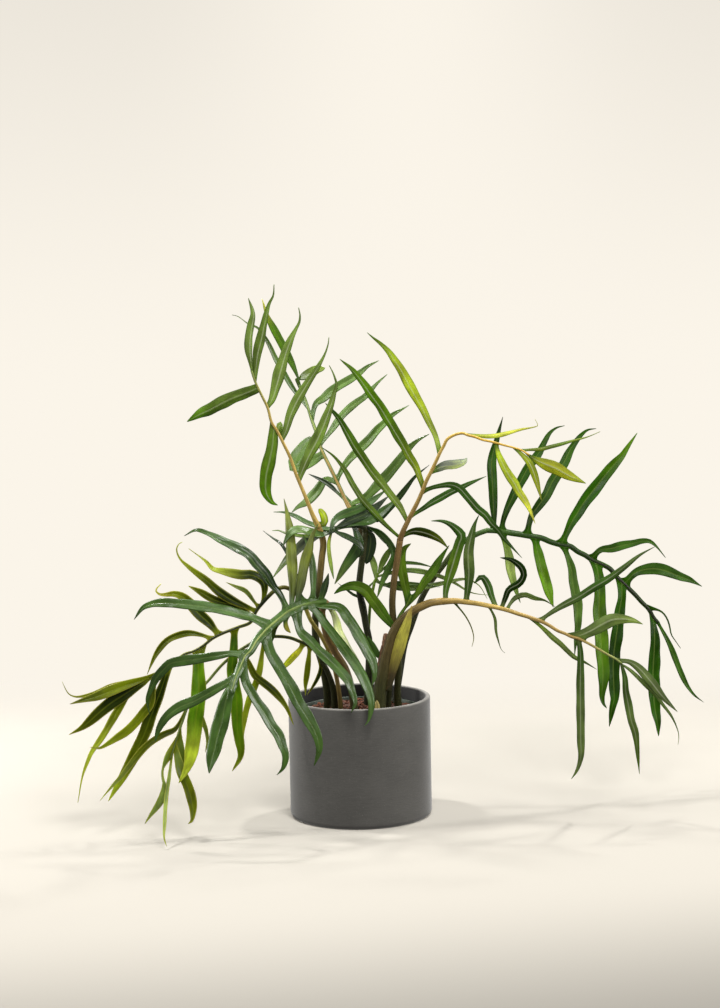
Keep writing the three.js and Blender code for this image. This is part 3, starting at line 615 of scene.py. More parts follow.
class Skin:
    """A mesh being built: its corners, its faces with their slots, and what the materials read.

    blade holds how far across its lobe a corner is (0 at the midrib, 1 at the edge), the lobe's half width
    there in mm, and its gloss. grain holds mm across, mm along and a seed. tint is a linear colour."""

    READ = ("blade", "grain", "tint")

    def __init__(self):
        self.corners, self.faces, self.slots = [], [], []
        self.read = {name: [] for name in self.READ}

    def add(self, corner, blade, grain, tint):
        """Adds a corner and gives its number."""
        self.corners.append(corner)
        for name, value in zip(self.READ, (blade, grain, tint)):
            self.read[name].append(value)
        return len(self.corners) - 1

    def add_all(self, corners, blade, grain, tint):
        first = len(self.corners)
        for values in zip(corners, blade, grain, tint):
            self.add(*values)
        return first

    def face(self, *corners, slot=0):
        self.faces.append(corners)
        self.slots.append(slot)

    def strip(self, before, now):
        """Faces between two open rows of corners."""
        for k in range(len(now) - 1):
            self.face(before[k], now[k], now[k + 1], before[k + 1])

    def band(self, low, high, slot=0):
        """Faces all round between two closed rows of corners. Either row may be a single corner."""
        count = max(len(low), len(high))
        for i in range(count):
            j = (i + 1) % count
            if len(low) == 1:
                self.face(low[0], high[j], high[i], slot=slot)
            elif len(high) == 1:
                self.face(low[i], low[j], high[0], slot=slot)
            else:
                self.face(low[i], low[j], high[j], high[i], slot=slot)

    def thicken(self, thickness):
        """Turns the sheet into a closed body, with slot 1 on its far side."""
        corners = np.array(self.corners)
        normals = np.zeros_like(corners)
        for f in self.faces:
            a, b, c = corners[f[0]], corners[f[1]], corners[f[2]]
            turn = np.cross(b - a, c - a)
            for i in f:
                normals[i] += turn
        offset = unit(normals) * thickness / 2
        count = len(corners)
        self.corners = list(corners + offset) + list(corners - offset)
        for name in self.READ:
            self.read[name] = self.read[name] * 2
        edges = dict.fromkeys(edge for f in self.faces for edge in zip(f, f[1:] + f[:1]))
        for f in list(self.faces):
            self.face(*[i + count for i in reversed(f)], slot=1)
        for i, j in edges:
            if (j, i) not in edges:
                self.face(j, i, i + count, j + count)

    def tube(self, centres, normals, sides, radii, tints, slot, seed):
        """A closed tube with blunt ends."""
        lengths = np.concatenate([[0], np.cumsum(np.linalg.norm(np.diff(centres, axis=0), axis=1))])
        angles = np.linspace(0, 2 * math.pi, TUBE_SIDES, endpoint=False)
        rows = []
        for centre, normal, side, radius, tint, far in zip(centres, normals, sides, radii, tints, lengths):
            ring = [centre + radius * (math.cos(a) * side + math.sin(a) * normal) for a in angles]
            grain = [(radius * a, far, seed) for a in angles]
            first = self.add_all(ring, [(1, radius, TUBE_GLOSS)] * TUBE_SIDES, grain, [tint] * TUBE_SIDES)
            rows.append([first + i for i in range(TUBE_SIDES)])
        for low, high in zip(rows, rows[1:]):
            self.band(low, high, slot)
        tips = []
        for end, inner in ((0, 1), (-1, -2)):
            along = unit(centres[end] - centres[inner])
            tips.append([self.add(centres[end] + along * radii[end] * 0.4, (1, radii[end], TUBE_GLOSS),
                                  (0, lengths[end], seed), tints[end])])
        self.band(tips[0], rows[0], slot)
        self.band(rows[-1], tips[1], slot)

    def piece(self, name, materials):
        """The Blender object, in metres."""
        piece = body(name, [tuple(c * MM) for c in np.array(self.corners)], self.faces, materials)
        piece.data.polygons.foreach_set("material_index", self.slots)
        for key, values in self.read.items():
            attribute = piece.data.attributes.new(key, "FLOAT_VECTOR", "POINT")
            attribute.data.foreach_set("vector", np.array(values, dtype=float).ravel())
        piece.data.update()
        return piece


def keep(piece, node):
    """Puts a piece on the root body and hides the CAD node that it stands for."""
    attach(piece, "root")
    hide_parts(node)


# Materials

class Shader:
    """A material's node tree. Each call adds a node, whose inputs take values or other nodes' outputs."""

    def __init__(self, name):
        self.material = bpy.data.materials.new(name)
        self.material.use_nodes = True
        self.tree = self.material.node_tree
        self.tree.nodes.clear()

    def set(self, socket, value):
        if isinstance(value, bpy.types.NodeSocket):
            self.tree.links.new(value, socket)
        else:
            socket.default_value = value

    def node(self, kind, *inputs, out=0, **settings):
        n = self.tree.nodes.new("ShaderNode" + kind)
        named = settings.pop("named", {})
        for key, value in settings.items():
            setattr(n, key, value)
        for socket, value in zip(n.inputs, inputs):
            if value is not None:
                self.set(socket, value)
        for key, value in named.items():
            self.set(n.inputs[key], value)
        return n.outputs[out]

    def read(self, name):
        return self.node("Attribute", attribute_type="GEOMETRY", attribute_name=name, out=1)

    def split(self, vector):
        n = self.tree.nodes.new("ShaderNodeSeparateXYZ")
        self.set(n.inputs[0], vector)
        return n.outputs[0], n.outputs[1], n.outputs[2]

    def math(self, operation, *inputs):
        return self.node("Math", *inputs, operation=operation)

    def range(self, value, low, high, to_low=0.0, to_high=1.0):
        return self.node("MapRange", value, low, high, to_low, to_high, interpolation_type="SMOOTHSTEP")

    def scaled(self, vector, *by):
        return self.tinted(vector, by)

    def product(self, a, b):
        return self.math("MULTIPLY", a, b)

    def noise(self, vector, by, detail, roughness=0.5):
        """Soft random values, with one scale for each axis."""
        return self.node("TexNoise", named={"Vector": self.tinted(vector, by), "Scale": 1.0,
                                            "Detail": detail, "Roughness": roughness})

    def blend(self, share, a, b):
        n = self.tree.nodes.new("ShaderNodeMix")
        n.data_type = "RGBA"
        for i, value in ((0, share), (6, a), (7, b)):
            self.set(n.inputs[i], value)
        return n.outputs[2]

    def tinted(self, colour, by):
        return self.node("VectorMath", colour, by, operation="MULTIPLY")

    def times(self, colour, value):
        """A colour with each channel multiplied by the same value."""
        return self.tinted(colour, self.node("CombineXYZ", value, value, value))

    def bump(self, height, distance, strength):
        return self.node("Bump", named={"Height": height, "Distance": distance, "Strength": strength})

    def principled(self, **named):
        return self.node("BsdfPrincipled", named={k.replace("_", " "): v for k, v in named.items()})

    def finish(self, surface):
        output = self.tree.nodes.new("ShaderNodeOutputMaterial")
        self.set(output.inputs[0], surface)
        return self.material


def rgba(tint):
    return (*linear(tint), 1.0)


def leaf_material(name, rough, mirror, vein, rim, through, veins_up):
    """A leaf's skin. Its colour is the lobe's tint with blotches and fine streaks, a midrib line and
    slanting side veins, and some of the light behind it comes through. vein and rim are each a tint and
    how much of it shows."""
    s = Shader(name)
    out_to_edge, half_width, gloss = s.split(s.read("blade"))
    grain = s.read("grain")
    _, mm_along, _ = s.split(grain)
    from_midrib = s.product(out_to_edge, half_width)

    blotches = s.noise(grain, (0.09, 0.035, 7.0), 3.0)
    streaks = s.noise(grain, (1.1, 0.03, 3.0), 2.0)
    slant = s.math("SUBTRACT", mm_along, s.product(from_midrib, 1.1))
    side_veins = s.math("SINE", s.product(slant, 1.2))
    shade = s.product(s.range(blotches, 0.28, 0.72, 0.66, 1.26), s.range(streaks, 0.3, 0.7, 0.95, 1.05))
    shade = s.product(shade, s.math("MULTIPLY_ADD", side_veins, 0.02, LEAF_BRIGHTNESS))
    colour = s.times(s.read("tint"), shade)
    edge = s.range(s.math("SUBTRACT", half_width, from_midrib), 0.2, 1.8, 1.0, 0.0)
    colour = s.blend(s.product(edge, rim[1]), colour, rgba(rim[0]))
    vein_edge = s.math("MULTIPLY_ADD", half_width, 0.06, 0.12)
    midrib = s.range(from_midrib, vein_edge, s.product(vein_edge, 2.2), 1.0, 0.0)
    shown = s.product(midrib, s.range(half_width, 1.5, 6.0, 0.15, 1.0))
    colour = s.blend(s.product(shown, vein[1]), colour, rgba(vein[0]))

    quilt = s.noise(grain, (0.11, 0.045, 5.0), 0.0)
    height = s.math("MULTIPLY_ADD", midrib, veins_up, s.product(side_veins, 0.015))
    height = s.math("ADD", height, s.product(quilt, 3.0))
    normal = s.bump(height, 0.5 * MM, 0.8)
    roughness = s.math("MULTIPLY_ADD", gloss, -0.2, s.range(blotches, 0.3, 0.7, rough - 0.05, rough + 0.07))
    front = s.principled(Base_Color=colour, Roughness=roughness, Specular_IOR_Level=mirror, Normal=normal)
    glow = s.scaled(colour, 1.8, 1.9, 0.45)
    behind = s.node("BsdfTranslucent", glow, normal)
    return s.finish(s.node("MixShader", through, front, behind))


def stem_material(name, rough, ridges, speckle):
    """A stalk's or rachis's skin: its tint, long fine streaks and small specks."""
    s = Shader(name)
    grain = s.read("grain")
    streaks = s.noise(grain, (1.4, 0.05, 5.0), 3.0)
    blotches = s.noise(grain, (0.3, 0.06, 5.0), 3.0)
    specks = s.range(s.noise(grain, (1.6, 0.8, 5.0), 2.0), 0.6, 0.72)
    shade = s.product(s.range(streaks, 0.3, 0.7, 0.8, 1.15), s.range(blotches, 0.3, 0.7, 0.85, 1.25))
    colour = s.times(s.read("tint"), shade)
    colour = s.blend(s.product(specks, speckle), colour, rgba("straw"))
    normal = s.bump(streaks, ridges * MM, 0.8)
    roughness = s.range(streaks, 0.3, 0.7, rough - 0.06, rough + 0.1)
    return s.finish(s.principled(Base_Color=colour, Roughness=roughness, Specular_IOR_Level=0.25,
                                 Normal=normal))


def bark_material(name, dark, light, scale):
    """Rough reddish bark: broken ridges, with paler fibres on the raised parts."""
    s = Shader(name)
    grain = s.read("grain")
    ridges = s.noise(grain, (scale, scale * 0.45, 3.0), 4.0, 0.65)
    fibres = s.noise(grain, (scale * 4, scale * 0.8, 3.0), 2.0)
    height = s.math("MULTIPLY_ADD", fibres, 0.35, ridges)
    colour = s.blend(s.range(height, 0.45, 0.9), rgba(dark), rgba(light))
    colour = s.tinted(colour, s.read("tint"))
    normal = s.bump(height, 0.9 * MM, 1.0)
    return s.finish(s.principled(Base_Color=colour, Roughness=0.92, Normal=normal))


def stoneware_material():
    """Matte dark stoneware with the potter's fine throwing lines, specks, a worn, paler lip and foot, and a
    painted-shade dark inside.
    """
    s = Shader("dark_stoneware")
    place_m = s.node("TexCoord", out=3)
    lines = s.noise(place_m, (110.0, 110.0, 1300.0), 3.0, 0.6)
    fine = s.noise(place_m, (700.0, 700.0, 1500.0), 3.0, 0.7)
    cloud = s.noise(place_m, (18.0, 18.0, 26.0), 3.0)
    specks = s.range(s.noise(place_m, (900.0, 900.0, 900.0), 1.0), 0.68, 0.78)
    shade = s.product(s.range(lines, 0.25, 0.75, 0.9, 1.1), s.range(fine, 0.25, 0.75, 0.9, 1.1))
    shade = s.product(shade, s.range(cloud, 0.3, 0.7, 0.93, 1.07))
    colour = s.times(rgba((84, 82, 78))[:3], shade)
    colour = s.blend(s.product(specks, 0.35), colour, rgba((150, 146, 138)))
    # Painted shade: within 88.5 mm of the axis, on the inner wall and floor, the colour is darkened to near
    # black.
    out = s.node("VectorMath", s.scaled(place_m, 1.0, 1.0, 0.0), operation="LENGTH", out=1)
    colour = s.times(colour, s.range(out, 0.0885, 0.0925, 0.08, 1.0))
    worn, _, _ = s.split(s.read("blade"))
    colour = s.blend(s.product(worn, 0.5), colour, rgba((156, 152, 144)))
    height = s.math("MULTIPLY_ADD", fine, 0.5, lines)
    normal = s.bump(height, 0.18 * MM, 0.8)
    roughness = s.range(fine, 0.3, 0.7, 0.62, 0.78)
    return s.finish(s.principled(Base_Color=colour, Roughness=roughness, Specular_IOR_Level=0.42,
                                 Sheen_Weight=0.3, Sheen_Roughness=0.4, Normal=normal))


def plastic_material():
    """Thin moulded plastic, scuffed and a little dusty."""
    s = Shader("nursery_pot_plastic")
    place_m = s.node("TexCoord", out=3)
    dust = s.noise(place_m, (90.0, 90.0, 60.0), 4.0)
    scuffs = s.noise(place_m, (60.0, 60.0, 900.0), 2.0)
    colour = s.blend(s.range(dust, 0.4, 0.8, 0.0, 0.5), rgba((56, 68, 58)), rgba((86, 84, 68)))
    normal = s.bump(scuffs, 0.08 * MM, 0.5)
    roughness = s.range(dust, 0.3, 0.7, 0.4, 0.6)
    return s.finish(s.principled(Base_Color=colour, Roughness=roughness, Normal=normal))


def paper_material():
    """A dry, papery sheath: yellow, with brown veins along it, letting light through."""
    s = Shader("dry_sheath_skin")
    grain = s.read("grain")
    fibres = s.noise(grain, (1.6, 0.05, 3.0), 3.0)
    blotches = s.noise(grain, (0.2, 0.1, 3.0), 3.0)
    colour = s.times(s.read("tint"), s.range(fibres, 0.3, 0.7, 0.8, 1.3))
    colour = s.blend(s.range(blotches, 0.5, 0.75, 0.0, 0.5), colour, rgba("rust"))
    normal = s.bump(fibres, 0.35 * MM, 0.9)
    front = s.principled(Base_Color=colour, Roughness=0.55, Normal=normal)
    return s.finish(s.node("MixShader", 0.35, front, s.node("BsdfTranslucent", colour, normal)))


TOP_SKIN = leaf_material("leaf_top_skin", rough=0.42, mirror=0.09, vein=("under_pale", 0.3),
                         rim=("moss", 0.3), through=0.36, veins_up=-0.4)
OLIVE_SKIN = leaf_material("leaf_olive_skin", rough=0.4, mirror=0.14, vein=("lime", 0.25),
                           rim=("butter", 0.5), through=0.36, veins_up=-0.4)
GLOSSY_SKIN = leaf_material("leaf_glossy_skin", rough=0.5, mirror=0.7, vein=("under_pale", 0.16),
                            rim=("moss", 0.2), through=0.26, veins_up=-0.3)
UNDER_SKIN = leaf_material("leaf_under_skin", rough=0.56, mirror=0.1, vein=("pale", 0.42),
                           rim=("forest", 0.4), through=0.36, veins_up=0.5)
UPPER_SKINS = dict.fromkeys(("front_left", "centre_small", "centre_dark", "upper_back"), GLOSSY_SKIN)
UPPER_SKINS |= dict.fromkeys(("left_olive", "lowest_left"), OLIVE_SKIN)
RACHIS_SKIN = stem_material("rachis_skin", rough=0.45, ridges=0.35, speckle=0.1)
STALK_SKIN = stem_material("stalk_skin", rough=0.45, ridges=0.45, speckle=0.25)
STEM_BARK = bark_material("stem_bark", dark=(58, 36, 24), light=(176, 134, 104), scale=0.5)
# The chips' browns are the bark's own reddish brown, darkened further as painted shade of the planter's
# mouth.
CHIP_BARK = bark_material("chip_bark", dark=(30, 13, 5), light=(112, 62, 30), scale=0.35)
SHEATH_SKIN = paper_material()


# Leaves

class Ring:
    """The outline round a rachis, from its foot along one side, round its tip and back: the edge of the
    narrow wing that the lobes grow out of."""

    TIP_STEPS = 6
    HEADING_REACH = 22.0
    FOOT_REACH = 16.0
    FOOT_TRIES = 24
    WRONG_SIDE_COST = 60

    def __init__(self, skin, spine, faces, wing, pitch, looks, gloss, seed):
        far = spine.steps(pitch, fewest=6)
        count = len(far) - 1
        share = far / spine.length
        self.centres = spine.at(far)
        self.along, self.normals, self.sides = spine.frames(far, faces)
        widths = wing * (1 - 0.35 * share) * (0.35 + 0.65 * eased(far / (3 * wing + 3)))
        tints = tints_along(looks, share)
        self.inner = [skin.add(c, (0, 6, gloss), (0, d, seed), t)
                      for c, d, t in zip(self.centres, far, tints)]
        self.corners, self.places, self.out, self.stands_on = [], [], [], []

        def edge(i, out):
            where = self.centres[i] + out * widths[i]
            self.corners.append(skin.add(where, (1, widths[i], gloss), (widths[i], far[i], seed), tints[i]))
            self.places.append(where)
            self.out.append(out)
            self.stands_on.append(i)

        for i in range(count + 1):
            edge(i, self.sides[i])
        for angle in np.linspace(0, math.pi, self.TIP_STEPS + 2)[1:-1]:
            edge(count, math.cos(angle) * self.sides[count] + math.sin(angle) * self.along[count])
        for i in range(count, -1, -1):
            edge(i, -self.sides[i])
        self.places, self.out = np.array(self.places), np.array(self.out)
        for a in range(len(self.corners) - 1):
            i, j = self.stands_on[a], self.stands_on[a + 1]
            spot = (self.corners[a], self.corners[a + 1], self.inner[j])
            skin.face(*(spot if i == j else spot + (self.inner[i],)))

    def foot_of(self, line):
        """The place on the ring where a lobe's line leaves it."""
        heading = unit(line.at(min(line.length, self.HEADING_REACH)) - line.at(0))
        near = line.at(np.linspace(0, min(line.length * 0.5, self.FOOT_REACH), self.FOOT_TRIES))
        gaps = np.linalg.norm(self.places[:, None] - near[None], axis=2).min(axis=1)
        wrong_side = np.clip(-(self.out @ heading), 0, None)
        return int(np.argmin(gaps + self.WRONG_SIDE_COST * wrong_side))


def spread(mids, last):
    """Moves the lobes' feet apart along the ring, in order, so that each has two corners on both sides."""
    order = np.argsort(mids, kind="stable")
    spots = np.array(mids, dtype=float)[order]
    for _ in range(FOOT_ROUNDS):
        for i in range(len(spots) - 1):
            short = FOOT_ROOM - (spots[i + 1] - spots[i])
            if short > 0:
                spots[i] -= short / 2
                spots[i + 1] += short / 2
        spots[0], spots[-1] = max(spots[0], 2), min(spots[-1], last - 2)
    whole = np.round(spots).astype(int)
    for i in range(1, len(whole)):
        whole[i] = max(whole[i], whole[i - 1] + FOOT_ROOM)
    over = max(0, whole[-1] - (last - 2))
    whole -= over
    return order, whole


def outline_at(name, t):
    """A smooth curve through an outline's points."""
    x, y = np.array(OUTLINES[name], dtype=float).T
    slopes = np.gradient(y, x)
    i = np.clip(np.searchsorted(x, t, side="right") - 1, 0, len(x) - 2)
    width = x[i + 1] - x[i]
    h = (t - x[i]) / width
    return ((2 * h**3 - 3 * h**2 + 1) * y[i] + (h**3 - 2 * h**2 + h) * width * slopes[i]
            + (3 * h**2 - 2 * h**3) * y[i + 1] + (h**3 - h**2) * width * slopes[i + 1])


def own(shape, leaf, key):
    """A lobe's own value for something that its leaf sets."""
    return shape["own"].get(key, leaf[key])


def grow_lobe(skin, ring, leaf, shape, line, low, mid, high, seed, rng):
    """A lobe's rows, from the ring's corners low to high out to the lobe's tip."""
    foot = ring.places[low:high + 1]
    centre = ring.places[mid]
    start = line.nearest(centre, min(line.length * 0.4, 20.0))
    reach = line.length - start
    rows = int(np.clip(reach / LOBE_PITCH, *LOBE_ROWS))
    x = np.linspace(0, 1, rows + 1)[1:]
    far = reach * (x - ROW_CROWDING * np.sin(2 * math.pi * x) / (2 * math.pi))
    t = far / reach
    u = np.concatenate([np.linspace(-1, 0, mid - low + 1), np.linspace(0, 1, high - mid + 1)[1:]])
    points, heads = line.at(start + far), line.along(start + far)
    offsets = foot - centre
    skew = np.abs(offsets @ line.along(start + 3.0)).max()
    settle = max(1.5 + own(shape, leaf, "foot")[1], 1.15 * skew)
    settled = 1 - np.exp(-far / settle)
    drift = (centre - line.at(start)) * np.exp(-far / LINE_REACH)[:, None]

    first = ring.normals[ring.stands_on[mid]]
    spread_normal = np.cross(heads[0], ring.along[ring.stands_on[mid]])
    spread_normal *= np.sign(spread_normal @ first) * 0.6
    normals = across(unit(first + spread_normal), heads)
    sides = np.cross(normals, heads)
    roll = np.radians(shape["roll"] + rng.uniform(-9, 9) + (shape["twist"] + rng.uniform(-14, 14)) * t)
    roll = (roll * eased(far / ROLL_REACH))[:, None]
    sides, normals = (sides * np.cos(roll) + normals * np.sin(roll),
                      normals * np.cos(roll) - sides * np.sin(roll))

    sight = unit(points - EYE)
    seen = np.sqrt(1 - np.sum(sides * sight, axis=1) ** 2)
    half = shape["width"] / 2 * outline_at(shape["outline"], t) / np.clip(seen, 0.6, 1)
    ragged = 1 + 0.04 * np.sin(far / rng.uniform(5, 9) + rng.uniform(0, 6))
    half = np.maximum(half * ragged, 0.15)

    fold = shape["own"].get("fold", leaf["fold"] * rng.uniform(0.8, 1.3))
    up = 1 if leaf["shows"] == "top" else -1
    wave = rng.uniform(0.2, 0.7) * min(1, shape["width"] / 12)
    wave_length, phases = rng.uniform(26, 48), (rng.uniform(0, 6), rng.uniform(0, 6))
    tints = tints_along(shape["look"] or leaf["look"], t) * rng.uniform(0.86, 1.12)
    gloss = own(shape, leaf, "gloss")
    ramp = eased(far / WAVE_REACH)

    before = ring.corners[low:high + 1]
    for k, corner in enumerate(before):
        skin.read["blade"][corner] = (abs(u[k]), half[0], gloss)
    foot_tint = np.array(skin.read["tint"][ring.corners[mid]])
    for j in range(rows - 1):
        across_mm = u * half[j]
        rise = up * fold * np.abs(across_mm) * (1 - FOLD_EASE * np.abs(u))
        ripples = [math.sin(2 * math.pi * far[j] / wave_length + phase) for phase in phases]
        ripple = np.where(u < 0, *ripples)
        rise = rise * ramp[j] + wave * ramp[j] * ripple * np.abs(u) ** 1.6 * min(1, half[j] / 4)
        laid = across_mm[:, None] * sides[j] + rise[:, None] * normals[j]
        row = points[j] + drift[j] + (1 - settled[j]) * offsets + settled[j] * laid
        tint = foot_tint + (tints[j] - foot_tint) * eased(far[j] / TINT_REACH)
        now = [skin.add(p, (abs(a), half[j], gloss), (m, far[j], seed), tint)
               for p, a, m in zip(row, u, across_mm)]
        skin.strip(before, now)
        before = now
    tip = skin.add(points[-1] + drift[-1], (0, 0.1, gloss), (0, far[-1], seed), tints[-1])
    for a, b in zip(before, before[1:]):
        skin.face(a, tip, b)


def rachis_tube(skin, leaf, spine, faces, seed):
    """The leaf's midrib. It stands proud on the underside and is nearly flush on the upper side."""
    rachis, start_width = leaf["rachis"], leaf["stalk"]["widths"][1]
    far = spine.steps(TUBE_PITCH, fewest=8)
    share = far / spine.length
    widths = evenly(rachis["widths"], share)
    widths = widths + (start_width - widths) * np.exp(-far / 14.0)
    _, normals, sides = spine.frames(far, faces)
    proud = 0.25 if leaf["shows"] == "under" else -0.28
    centres = spine.at(far) + normals * (widths * proud)[:, None] * eased(far / 20.0)[:, None]
    skin.tube(centres, normals, sides, widths / 2, tints_along(rachis["looks"], share), 2, seed)


def leaf_faces(spine, lines):
    """The side of the leaf that the camera sees: square to its rachis and its lobes, on average."""
    total = unit(LOBE_FACES) * len(lines) * 0.5
    for line in lines:
        foot = spine.nearest(line.at(0), spine.length)
        square = np.cross(unit(line.at(min(line.length, 40.0)) - line.at(0)), spine.along(foot))
        total = total + square * (1 if square @ LOBE_FACES > 0 else -1)
    return unit(total)


def depth_near(spine, point):
    """The real depth of a line where it passes nearest to a drawing point."""
    gaps = [np.linalg.norm(p - place(point, p[1])) for p in spine.points]
    return spine.points[int(np.argmin(gaps))][1]


def make_blade(name, leaf, seed):
    """A leaf's one sheet of wing and lobes, with its rachis."""
    rng = Random(seed)
    rachis = leaf["rachis"]
    spine = Line(placed(rachis["line"], rachis["depths"]))
    lines = []
    for shape in leaf["lobes"]:
        depth = depth_near(spine, shape["points"][0])
        lines.append(Line(placed(shape["points"], (depth, depth + shape["lean"]))))
    faces = leaf_faces(spine, lines)
    skin = Skin()
    ring = Ring(skin, spine, faces, leaf["wing"], leaf["pitch"], leaf["look"], leaf["gloss"], seed)
    last = len(ring.corners) - 1
    order, mids = spread([ring.foot_of(line) for line in lines], last)
    for k, (index, mid) in enumerate(zip(order, mids)):
        shape, line = leaf["lobes"][index], lines[index]
        step = np.linalg.norm(ring.places[min(mid + 1, last)] - ring.places[mid])
        slant = max(0.45, abs(ring.out[mid] @ line.along(6.0)))
        share, extra = own(shape, leaf, "foot")
        wish = max(2, round((share * shape["width"] + extra) / slant / max(step, 0.4)))
        low = max(mid - wish, 0 if k == 0 else math.ceil((mids[k - 1] + mid) / 2))
        high = min(mid + wish, last if k == len(mids) - 1 else (mid + mids[k + 1]) // 2)
        grow_lobe(skin, ring, leaf, shape, line, low, mid, high, seed + 0.37 * index, rng)
    skin.thicken(SHEET_THICKNESS)
    rachis_tube(skin, leaf, spine, faces, seed)
    upper = UPPER_SKINS.get(name, TOP_SKIN)
    sides = [upper, UNDER_SKIN] if leaf["shows"] == "top" else [UNDER_SKIN, upper]
    return skin.piece(f"{name}_blade", sides + [RACHIS_SKIN])


def make_stalk(stalk, seed, rough=0.0, tail=3.0):
    """A stalk from its root in the bark mix to its top, swollen at its foot. Its tail reaches into the
    rachis, and rough is how uneven its width is."""
    rng = Random(seed)
    x, z = stalk["line"][0]
    line = Line(placed([(x, z - ROOT_DEPTH)] + stalk["line"], stalk["depths"]))
    far = line.steps(TUBE_PITCH)
    share = far / line.length
    swelling = 1 + 0.14 * np.exp(-np.maximum(far - ROOT_DEPTH, 0) / 16.0)
    widths = evenly(stalk["widths"], share) * swelling
    along, normals, sides = line.frames(far, LOBE_FACES)
    wobble = np.array([rng.uniform(-1, 1) for _ in far]) * rough
    centres = line.at(far)
    centres[-1] += along[-1] * tail
    tints = tints_along(stalk["looks"], share) if stalk["looks"] else np.ones((len(far), 3))
    skin = Skin()
    skin.tube(centres, normals, sides, widths / 2 * (1 + wobble), tints, 0, seed)
    return skin


def add_leaves():
    for number, (name, leaf) in enumerate(LEAVES.items()):
        seed = 11.0 + number
        stalk = make_stalk(leaf["stalk"], seed).piece(f"{name}_petiole", [STALK_SKIN])
        keep(stalk, f"{name}_stalk")
        keep(make_blade(name, leaf, seed), f"{name}_leaf")


# Small pieces

def papery_strip(skin, line, width, cup, looks, seed, columns=8, outline="oval"):
    """A thin cupped strip along a line."""
    far = line.steps(STRIP_PITCH, fewest=8)
    t = far / line.length
    _, normals, sides = line.frames(far, LOBE_FACES)
    half = np.maximum(width / 2 * outline_at(outline, t), 0.2)
    u = np.linspace(-1, 1, columns + 1)
    tints = tints_along(looks, t)
    rows = []
    for j in range(len(far)):
        laid = (-u * half[j])[:, None] * sides[j] - (cup * half[j] * u**2)[:, None] * normals[j]
        rows.append([skin.add(p, (abs(a), half[j], 0.3), (a * half[j], far[j], seed), tints[j])
                     for p, a in zip(line.at(far[j]) + laid, u)])
    for before, now in zip(rows, rows[1:]):
        skin.strip(before, now)


def strip_of(strip, cup, seed, outline):
    """A body for one strip."""
    skin = Skin()
    line = Line(placed(strip["line"], strip["depths"]))
    papery_strip(skin, line, strip["widths"][0], cup, strip["looks"], seed, outline=outline)
    skin.thicken(STRIP_THICKNESS)
    return skin


def add_sheath():
    piece = strip_of(SHEATH, 0.3, 3.0, "sheath").piece("papery_sheath", [SHEATH_SKIN, SHEATH_SKIN])
    keep(piece, "right_arch_sheath")


def add_stub():
    """The torn foot of an old sheath: three short pointed strips side by side."""
    skin = Skin()
    for dx, top, width in ((-1.4, -2.0, 3.6), (0.4, 0.0, 4.2), (2.0, -3.5, 3.0)):
        (x0, z0), (x1, z1) = STUB_LINE
        low, high = (x0 + dx, z0), (x1 + dx, z1 + top)
        middle = ((low[0] + high[0]) / 2 + 0.5, (low[1] + high[1]) / 2)
        line = Line(placed([(low[0], low[1] - 8), low, middle, high], STUB_DEPTHS))
        papery_strip(skin, line, width, 0.5, "straw", 5.0 + dx, columns=4)
    skin.thicken(STUB_THICKNESS)
    piece = skin.piece("torn_sheath_stub", [SHEATH_SKIN, SHEATH_SKIN])
    keep(piece, "dry_sheath_stub")


def add_main_stem():
    skin = make_stalk(MAIN_STEM, 5.0, rough=0.13, tail=0.0)
    scale = strip_of(STEM_SCALE, 0.4, 8.0, "lance")
    first = skin.add_all(scale.corners, *(scale.read[name] for name in Skin.READ))
    for f in scale.faces:
        skin.face(*[i + first for i in f], slot=1)
    piece = skin.piece("bark_stem", [STEM_BARK, RACHIS_SKIN])
    keep(piece, "main_stem")


# Planter, nursery pot and bark mix

def arc(cx, cz, radius, start, end, steps):
    """(radius, z) points of a profile along an arc, from one angle in degrees to another."""
    angles = np.radians(np.linspace(start, end, steps + 1))
    return [(cx + radius * math.cos(a), cz + radius * math.sin(a)) for a in angles]


def around(r, z, sides):
    """Points all round the axis, with their angles."""
    for i in range(sides):
        a = 2 * math.pi * i / sides
        yield a, (r * math.cos(a), r * math.sin(a), z)


def turned(profile, worn=lambda r, z: 0.0):
    """A round body from a closed profile of (radius, z) points that starts and ends on the axis."""
    skin = Skin()
    rows = []
    for r, z in profile:
        rows.append([skin.add(p, (worn(r, z), 1, 0), (r * a, z, 0), (1, 1, 1))
                     for a, p in around(r, z, ROUND_SIDES if r > 0 else 1)])
    for low, high in zip(rows, rows[1:]):
        skin.band(low, high)
    return skin


def add_planter():
    inner = PLANTER_RADIUS - PLANTER_WALL
    lip, foot = PLANTER_LIP_ROUND, PLANTER_FOOT_ROUND
    top = PLANTER_HEIGHT - lip
    side = [(PLANTER_RADIUS, foot + (top - foot) * k / 12) for k in range(1, 12)]
    inside = [(inner, top + (PLANTER_FLOOR + 4 - top) * k / 10) for k in range(1, 11)]

    def worn(r, z):
        at_lip = max(0.0, 1 - (PLANTER_HEIGHT - z) / 1.8)
        at_foot = max(0.0, 1 - z / 2.5) if r > 60 else 0.0
        return max(at_lip, at_foot)

    profile = [(0, 0), (PLANTER_RADIUS - foot - 6, 0)]
    profile += arc(PLANTER_RADIUS - foot, foot, foot, -90, 0, 10) + side
    profile += arc(PLANTER_RADIUS - lip, top, lip, 0, 90, 6) + arc(inner + lip, top, lip, 90, 180, 6)
    profile += inside + arc(inner - 4, PLANTER_FLOOR + 4, 4, 0, -90, 4)[1:] + [(0, PLANTER_FLOOR)]
    piece = turned(profile, worn).piece("stoneware_planter", [stoneware_material()])
    keep(piece, "planter")


